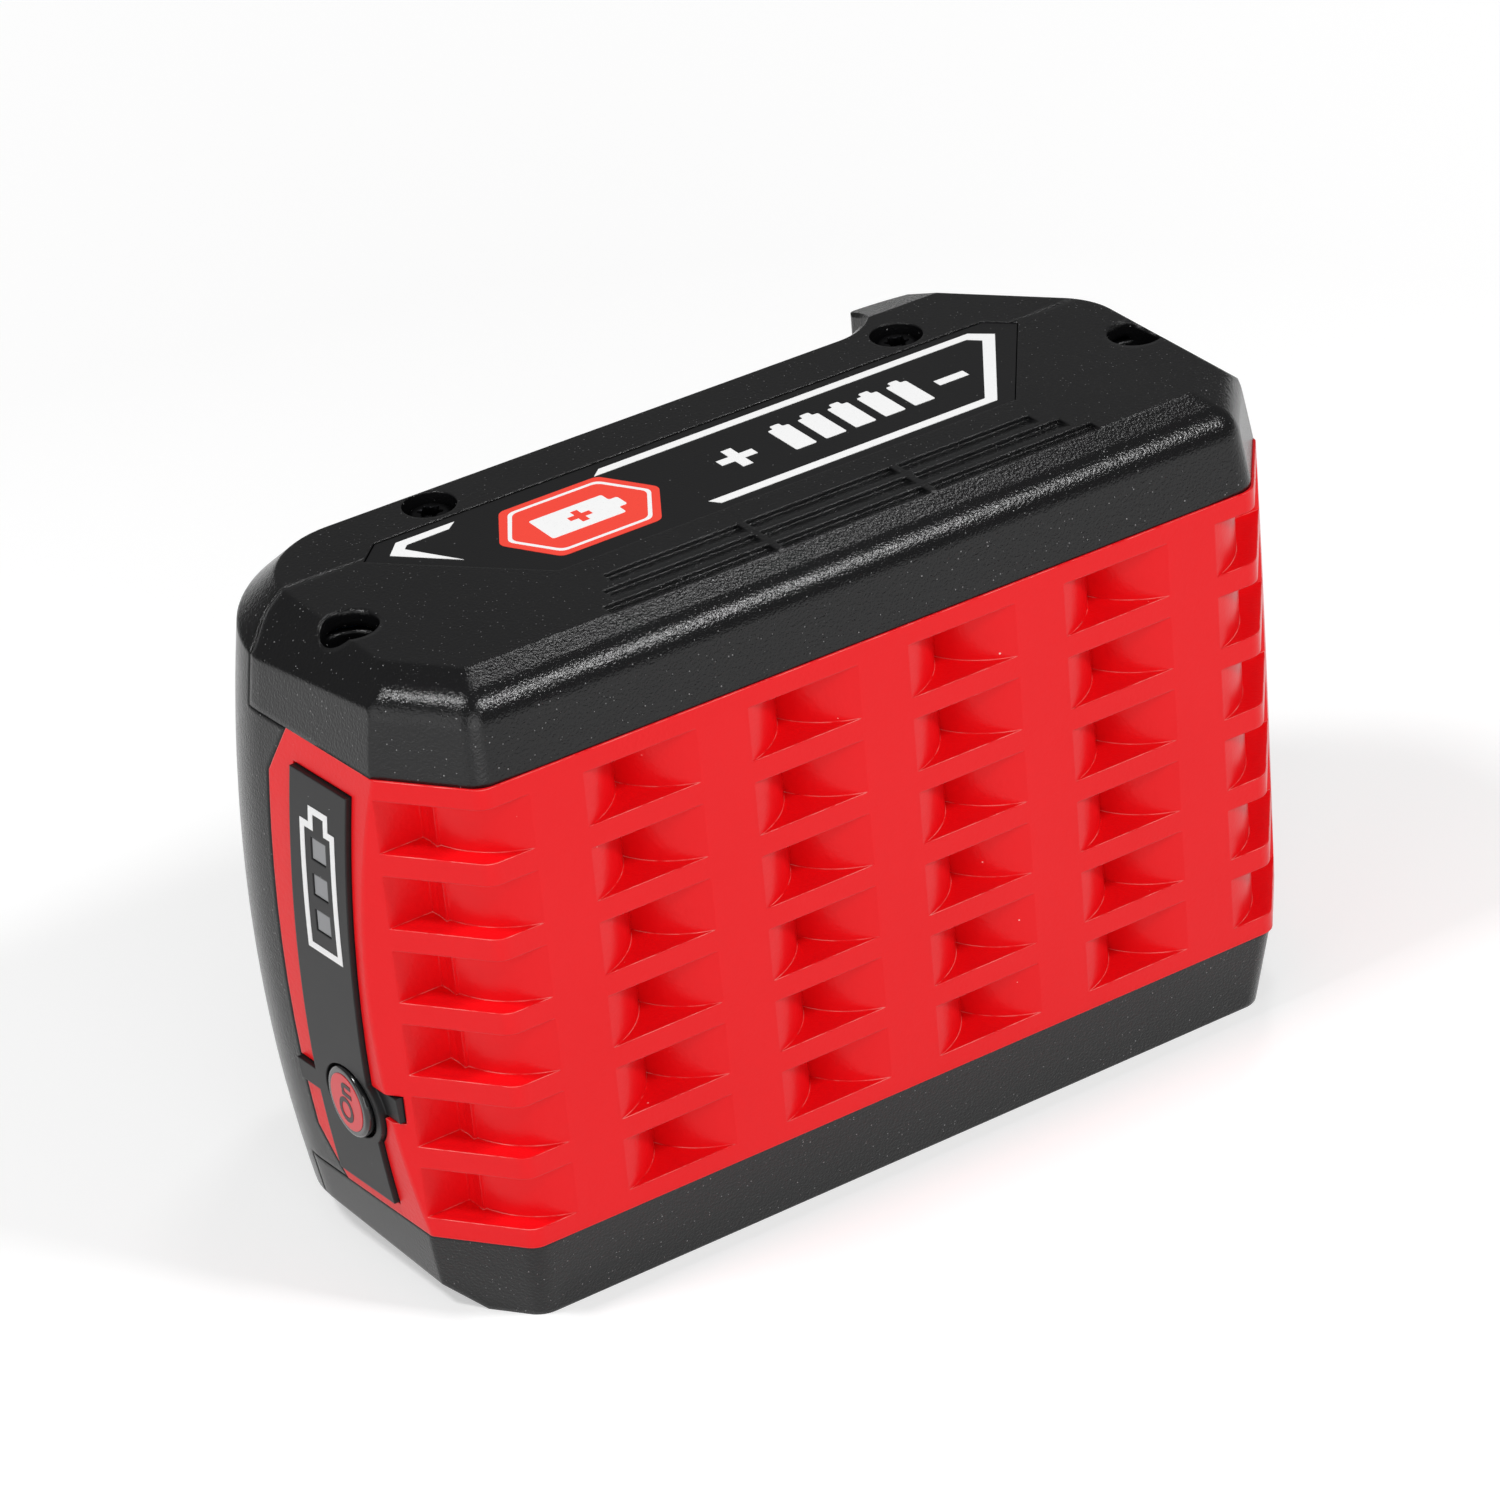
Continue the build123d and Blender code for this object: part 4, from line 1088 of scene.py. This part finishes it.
class ScrewTree(GrowthTree):
    """The tree that sets two kinds of screw on the seats of one side, each turned by chance."""

    def __init__(self) -> None:
        """Builds the tree."""
        super().__init__("screws on their seats", "Seats", {
            "End Screw": "Object", "Rail Screw": "Object", "End Screws": "Int", "Flip": "Float",
            "Seed": "Int", "Finish": "Material",
        })
        tree, source = self.tree, self.source
        index = add_node(tree, "GeometryNodeInputIndex")
        chance = add_node(tree, "FunctionNodeRandomValue", {
            2: 0.0, 3: math.tau, "ID": index, "Seed": source["Seed"],
        }, data_type="FLOAT")
        turn = add_node(tree, "ShaderNodeCombineXYZ", {0: source["Flip"], 2: chance})
        is_end = add_node(
            tree, "FunctionNodeCompare", {2: index, 3: source["End Screws"]},
            data_type="INT", operation="LESS_THAN",
        )
        is_rail = add_node(tree, "FunctionNodeBooleanMath", {0: is_end}, operation="NOT")
        joined = add_node(tree, "GeometryNodeJoinGeometry")
        for name, chosen in (("End Screw", is_end), ("Rail Screw", is_rail)):
            model = add_node(tree, "GeometryNodeObjectInfo", {"Object": source[name]})
            placed = add_node(tree, "GeometryNodeInstanceOnPoints", {
                "Points": source["Seats"], "Instance": model.outputs["Geometry"],
                "Selection": chosen, "Rotation": turn,
            })
            tree.links.new(placed.outputs[0], joined.inputs[0])
        self.close(joined)


@dataclass
class Screw:
    """One thread-forming screw with a domed head and a six-lobe recess, its seat at z = 0."""

    shank: float
    head_radius: float = 2.6
    head_height: float = 1.8
    lobe_radius: float = 1.12
    lobe_swing: float = 0.2
    recess: float = 1.15
    core_radius: float = 0.92
    crest: float = 0.28
    pitch: float = 0.9
    rings_a_turn: int = 5
    point: float = 1.4
    point_share: float = 0.25
    around: int = 48
    sharp: float = 35.0

    def rings(self) -> list[tuple[float, float, float]]:
        """Gives the head's rings from the recess outwards.

        Returns:
            Radius, height and share of the six lobes for each ring.
        """
        top = self.head_height
        floor = top - self.recess
        return [
            (self.lobe_radius * 0.25, floor - 0.12, 0.0),
            (self.lobe_radius * 0.9, floor, 0.9),
            (self.lobe_radius, floor + 0.1, 1.0),
            (self.lobe_radius, top - 0.16, 1.0),
            (self.lobe_radius + 0.1, top - 0.05, 0.9),
            (self.head_radius * 0.66, top - 0.09, 0.0),
            (self.head_radius * 0.82, top - 0.26, 0.0),
            (self.head_radius * 0.94, top - 0.56, 0.0),
            (self.head_radius, top - 0.95, 0.0),
            (self.head_radius, 0.12, 0.0),
            (self.head_radius - 0.12, 0.0, 0.0),
        ]

    def sections(self, angles: Sequence[float]) -> list[tuple[float, list[float]]]:
        """Gives the whole screw as rings, the thread's crest winding down its shank.

        Args:
            angles: where round the axis the points stand.

        Returns:
            Height and the reach at each angle, for each ring.
        """
        sections = [
            (height, [radius + self.lobe_swing * share * math.cos(6 * a) for a in angles])
            for radius, height, share in self.rings()
        ]
        steps = int(self.shank / self.pitch * self.rings_a_turn)
        for step in range(steps + 1):
            down = self.shank * step / steps
            taper = min(1.0, (self.shank - down) / self.point + self.point_share)
            wound = math.tau * down / self.pitch
            sections.append((-down, [
                (self.core_radius + self.crest * max(0.0, math.cos(wound + a)) ** 2) * taper
                for a in angles
            ]))
        return sections

    def mesh(self) -> Mesh:
        """Builds the screw.

        Returns:
            Its closed mesh in metres.
        """
        bm = bmesh.new()
        angles = [math.tau * number / self.around for number in range(self.around)]
        rows = []
        for z, reach in self.sections(angles):
            spots = [Vector((r * math.cos(a), r * math.sin(a), z)) for r, a in zip(reach, angles)]
            rows.append([bm.verts.new(spot * MM) for spot in spots])
        for upper, lower in zip(rows, rows[1:]):
            for number in range(self.around):
                after = (number + 1) % self.around
                face = bm.faces.new((upper[number], upper[after], lower[after], lower[number]))
                face.smooth = True
        bm.faces.new(rows[0])
        bm.faces.new(rows[-1])
        return closed_mesh(bm, "screw", self.sharp)


@dataclass
class ScrewSet:
    """The four screws of one side, in their wells."""

    side: Side
    end_x: float = 47.3
    end_depth: float = 21.2
    end_seat: float = 66.0
    end_shank: float = 9.2
    rail_x: float = 28.5
    rail_depth: float = 37.9
    rail_seat: float = 70.1
    rail_shank: float = 8.0
    seed: int = 7

    def build(self, wardrobe: Wardrobe, tree: ScrewTree) -> None:
        """Sets the screws and lets them stand for the CAD ones.

        Args:
            wardrobe: adds the screws in their steel.
            tree: the Geometry Nodes tree.
        """
        upper = self.side is Side.UPPER
        seats = bpy.data.meshes.new("seats")
        seats.from_pydata([
            at(sign * x, depth, seat if upper else PACK_WIDTH - seat)
            for x, depth, seat in (
                (self.end_x, self.end_depth, self.end_seat),
                (self.rail_x, self.rail_depth, self.rail_seat),
            )
            for sign in (-1, 1)
        ], [], [])
        models = [
            new_object(f"{label}_screw_model", Screw(shank).mesh())
            for label, shank in (("end", self.end_shank), ("rail", self.rail_shank))
        ]
        name = f"{self.side.value}_six_lobe_screws"
        mesh = tree.grow(name, seats, {
            "End Screw": models[0], "Rail Screw": models[1], "End Screws": 2,
            "Flip": 0.0 if upper else math.pi, "Seed": self.seed,
            "Finish": wardrobe.get(SLOT_FINISH["screw_steel"]),
        })
        for model in models:
            bpy.data.objects.remove(model)
        piece = wardrobe.add_piece(name, mesh, "screw_steel")
        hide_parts(f"{self.side.value}_screws")


class SpringTree(GrowthTree):
    """The tree that winds a compression spring on each of its points."""

    def __init__(self) -> None:
        """Builds the tree."""
        super().__init__("pair of coil springs", "Centres", {
            "Coil Radius": "Float", "Wire Radius": "Float", "Turns": "Float", "Run": "Float",
            "Finish": "Material",
        })
        tree, source = self.tree, self.source
        coil = add_node(tree, "GeometryNodeCurveSpiral", {
            "Resolution": 30, "Rotations": source["Turns"], "Start Radius": source["Coil Radius"],
            "End Radius": source["Coil Radius"], "Height": source["Run"],
        })
        wire = add_node(tree, "GeometryNodeCurvePrimitiveCircle", {
            "Resolution": 12, "Radius": source["Wire Radius"],
        })
        swept = add_node(tree, "GeometryNodeCurveToMesh", {
            "Curve": coil, "Profile Curve": wire, "Fill Caps": True,
        })
        smooth = add_node(tree, "GeometryNodeSetShadeSmooth", {0: swept})
        self.close(add_node(tree, "GeometryNodeInstanceOnPoints", {
            "Points": source["Centres"], "Instance": smooth, "Rotation": (-math.pi / 2, 0.0, 0.0),
        }))


@dataclass
class LatchSprings:
    """Two coil springs between the main board's shelf and the latch plate."""

    x: float = 33.0
    offset: float = 8.0
    coil_radius: float = 2.3
    wire_radius: float = 0.35
    turns: float = 4.5
    low_depth: float = 41.45
    high_depth: float = 50.0
    travel: float = 3.2

    def build(self, wardrobe: Wardrobe) -> None:
        """Winds the springs.

        Args:
            wardrobe: adds the springs in their wire.
        """
        run = self.high_depth - self.low_depth
        start = self.low_depth + self.wire_radius
        centres = bpy.data.meshes.new("centres")
        centres.from_pydata(
            [at(self.x, start, MIDDLE + way * self.offset) for way in (-1, 1)], [], []
        )
        mesh = SpringTree().grow("coil_springs", centres, {
            "Coil Radius": self.coil_radius * MM, "Wire Radius": self.wire_radius * MM,
            "Turns": self.turns, "Run": (run - 2 * self.wire_radius) * MM,
            "Finish": wardrobe.get(SLOT_FINISH["spring_steel"]),
        })
        piece = wardrobe.add_piece("coil_springs", mesh, "spring_steel")
        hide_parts("latch_springs")
        at(self.x, self.low_depth, MIDDLE)
        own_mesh(piece)


@dataclass
class SwitchDome:
    """The soft dome between the test button's stem and the switch."""

    depth: float = 17.3
    z: float = 23.0
    base_x: float = -50.8
    tip_x: float = -51.45
    radius: float = 1.1
    travel: float = 0.4
    around: int = 32
    sharp: float = 50.0

    def build(self, wardrobe: Wardrobe) -> None:
        """Turns the dome.

        Args:
            wardrobe: adds the dome in its rubber.
        """
        rise = self.base_x - self.tip_x
        bm = bmesh.new()
        profile = [bm.verts.new(Vector((-height, 0, reach)) * MM) for reach, height in (
            (0.0, rise), (0.55, rise), (0.66, rise - 0.05), (0.74, rise - 0.16), (0.9, rise - 0.36),
            (0.96, 0.16), (1.02, 0.1), (self.radius, 0.08), (self.radius, 0.0), (0.0, 0.0),
        )]
        edges = [bm.edges.new(pair) for pair in zip(profile, profile[1:])]
        bmesh.ops.spin(
            bm, geom=profile + edges, cent=(0, 0, 0), axis=(1, 0, 0), angle=math.tau,
            steps=self.around, use_merge=True,
        )
        bmesh.ops.remove_doubles(bm, verts=bm.verts[:], dist=1e-7)
        bmesh.ops.translate(bm, verts=bm.verts[:], vec=at(self.base_x, self.depth, self.z))
        for face in bm.faces:
            face.smooth = True
        mesh = closed_mesh(bm, "snap_dome", self.sharp)
        piece = wardrobe.add_piece("snap_dome", mesh, "dome_rubber")
        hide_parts("test_switch_dome")
        at(self.base_x, self.depth, self.z)
        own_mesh(piece)


@dataclass(frozen=True)
class Lamp:
    """A square soft box, its place and size in metres."""

    name: str
    place: tuple[float, float, float]
    size: float
    watts: float

    def build(self, target: Vector) -> None:
        """Hangs the lamp.

        Args:
            target: what it looks at, in metres.
        """
        data = bpy.data.lights.new(self.name, "AREA")
        data.shape = "SQUARE"
        data.size = self.size
        data.energy = self.watts
        lamp = new_object(self.name, data)
        lamp.location = Vector(self.place)
        lamp.rotation_euler = (target - lamp.location).to_track_quat("-Z", "Y").to_euler()


@dataclass
class Studio:
    """The camera at the photograph's view, the pale floor, the pale surround and the soft lamps."""

    azimuth: float = -30.46
    elevation: float = 29.75
    roll: float = 5.36
    lens: float = 139.1
    sensor: float = 36.0
    clip: Point = (0.01, 20.0)
    distance: float = 574.7
    aim: tuple[float, float, float] = (-3.0, -31.4, 54.2)
    shift: Point = (11.154, 2.865)
    lamp_depth: float = 28.0
    surround: float = 0.2
    floor_size: float = 6.0
    floor_paint: str = "D8D8D8"
    lift_reach: Point = (0.2, 0.9)
    lift: Point = (0.42, 0.9)
    lamps: tuple[Lamp, ...] = (
        Lamp("front_softbox", (0.28, -0.45, 0.59), 0.12, 2.35),
        Lamp("corner_softbox", (-0.36, 0.01, 0.67), 0.12, 2.05),
        Lamp("top_softbox", (0.32, 0.26, 0.69), 0.12, 0.6),
        Lamp("front_fill", (-0.30, -0.78, 0.22), 0.60, 2.5),
        Lamp("end_fill", (-0.80, -0.20, 0.25), 0.50, 1.2),
    )

    def camera(self) -> None:
        """Sets the camera where the photograph was taken from."""
        a, e, r = (math.radians(angle) for angle in (self.azimuth, self.elevation, self.roll))
        back = Vector((math.sin(a) * math.cos(e), -math.cos(a) * math.cos(e), math.sin(e)))
        level = Vector((math.cos(a), math.sin(a), 0))
        rise = back.cross(level)
        right = level * math.cos(r) - rise * math.sin(r)
        up = level * math.sin(r) + rise * math.cos(r)
        off = right * self.shift[0] + up * self.shift[1]
        spot = (Vector(self.aim) - off + back * self.distance) * MM
        data = bpy.data.cameras.new("photo_view")
        data.lens = self.lens
        data.sensor_width = self.sensor
        data.clip_start, data.clip_end = self.clip
        turn = Matrix((right, up, back)).transposed().to_4x4()
        camera = new_object("photo_view", data)
        camera.matrix_world = Matrix.Translation(spot) @ turn
        bpy.context.scene.camera = camera

    def seen_directly(self, tree: Tree) -> Any:
        """Finds the rays from the camera, and those that a gloss or a clear part sends on.

        Args:
            tree: the material's tree.

        Returns:
            The node that gives one for such a ray, else zero.
        """
        rays = add_node(tree, "ShaderNodeLightPath").outputs
        seen: Any = rays["Is Camera Ray"]
        for more in ("Is Glossy Ray", "Is Transmission Ray"):
            seen = add_node(tree, "ShaderNodeMath", {0: seen, 1: rays[more]}, operation="MAXIMUM")
        return seen

    def pale_world(self) -> None:
        """Makes the pale surround, a soft light from all sides."""
        world = bpy.data.worlds.new("white surround")
        world.use_nodes = True
        world.node_tree.nodes.clear()
        glow = add_node(world.node_tree, "ShaderNodeBackground", {
            "Color": linear("FFFFFF"), "Strength": self.surround,
        })
        add_node(world.node_tree, "ShaderNodeOutputWorld", {"Surface": glow})
        bpy.context.scene.world = world

    def floor(self) -> None:
        """Lays the floor, which keeps the pack's shadow and is seen white far from the lamps too."""
        half = self.floor_size / 2
        mesh = bpy.data.meshes.new("floor")
        corners = [(-half, -half, 0), (half, -half, 0), (half, half, 0), (-half, half, 0)]
        mesh.from_pydata(corners, [], [(0, 1, 2, 3)])
        material, tree = new_material("white studio floor")
        paint = add_node(tree, "ShaderNodeBsdfDiffuse", {"Color": linear(self.floor_paint)})
        place = add_node(tree, "ShaderNodeTexCoord").outputs["Object"]
        reach = add_node(tree, "ShaderNodeVectorMath", {0: place}, operation="LENGTH")
        level = add_node(tree, "ShaderNodeMapRange", {
            "Value": reach, "From Min": self.lift_reach[0], "From Max": self.lift_reach[1],
            "To Min": self.lift[0], "To Max": self.lift[1],
        })
        lift = add_node(
            tree, "ShaderNodeMath", {0: self.seen_directly(tree), 1: level}, operation="MULTIPLY"
        )
        glow = add_node(tree, "ShaderNodeEmission", {"Color": linear("FFFFFF"), "Strength": lift})
        both = add_node(tree, "ShaderNodeAddShader", {0: paint, 1: glow})
        add_node(tree, "ShaderNodeOutputMaterial", {"Surface": both})
        mesh.materials.append(material)
        floor = new_object("studio_floor", mesh)

    def build(self) -> None:
        """Sets up the whole studio."""
        self.camera()
        self.pale_world()
        self.floor()
        for lamp in self.lamps:
            lamp.build(at(0, self.lamp_depth, MIDDLE))
        bpy.context.scene.view_settings.view_transform = "Standard"
        LOG.info("studio: %d lamps", len(self.lamps))


class BatteryPack:
    """The whole pack: the CAD nodes in their finishes and the pieces that are added to them."""

    def __init__(self, frame: dict[str, Any]) -> None:
        """Keeps the loaded frame.
        """
        self.nodes: dict[str, bpy.types.Object] = frame["nodes"]
        self.record: dict[str, Any] = frame["record"]
        self.wardrobe = Wardrobe()

    def dress_nodes(self) -> None:
        """Gives every CAD node the finish of its slot in the record."""
        slots = {part["node"]: part["material_slot"] for part in self.record["subparts"]}
        for name, node in self.nodes.items():
            self.wardrobe.dress(node, slots[name])
        LOG.info("dressed %d CAD nodes", len(self.nodes))

    def build(self) -> None:
        """Dresses the nodes and adds every new piece."""
        self.dress_nodes()
        screws = ScrewTree()
        for side in Side:
            LabelGraphics(side).build(self.wardrobe)
            ScrewSet(side).build(self.wardrobe, screws)
        GaugeGraphics().build(self.wardrobe, self.nodes)
        LatchSprings().build(self.wardrobe)
        SwitchDome().build(self.wardrobe)


def main() -> None:
    """Builds the scene."""
    logging.basicConfig(level=logging.INFO, format="%(name)s: %(message)s")
    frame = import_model()
    Studio().build()
    BatteryPack(frame).build()


if __name__ == "__main__":
    main()
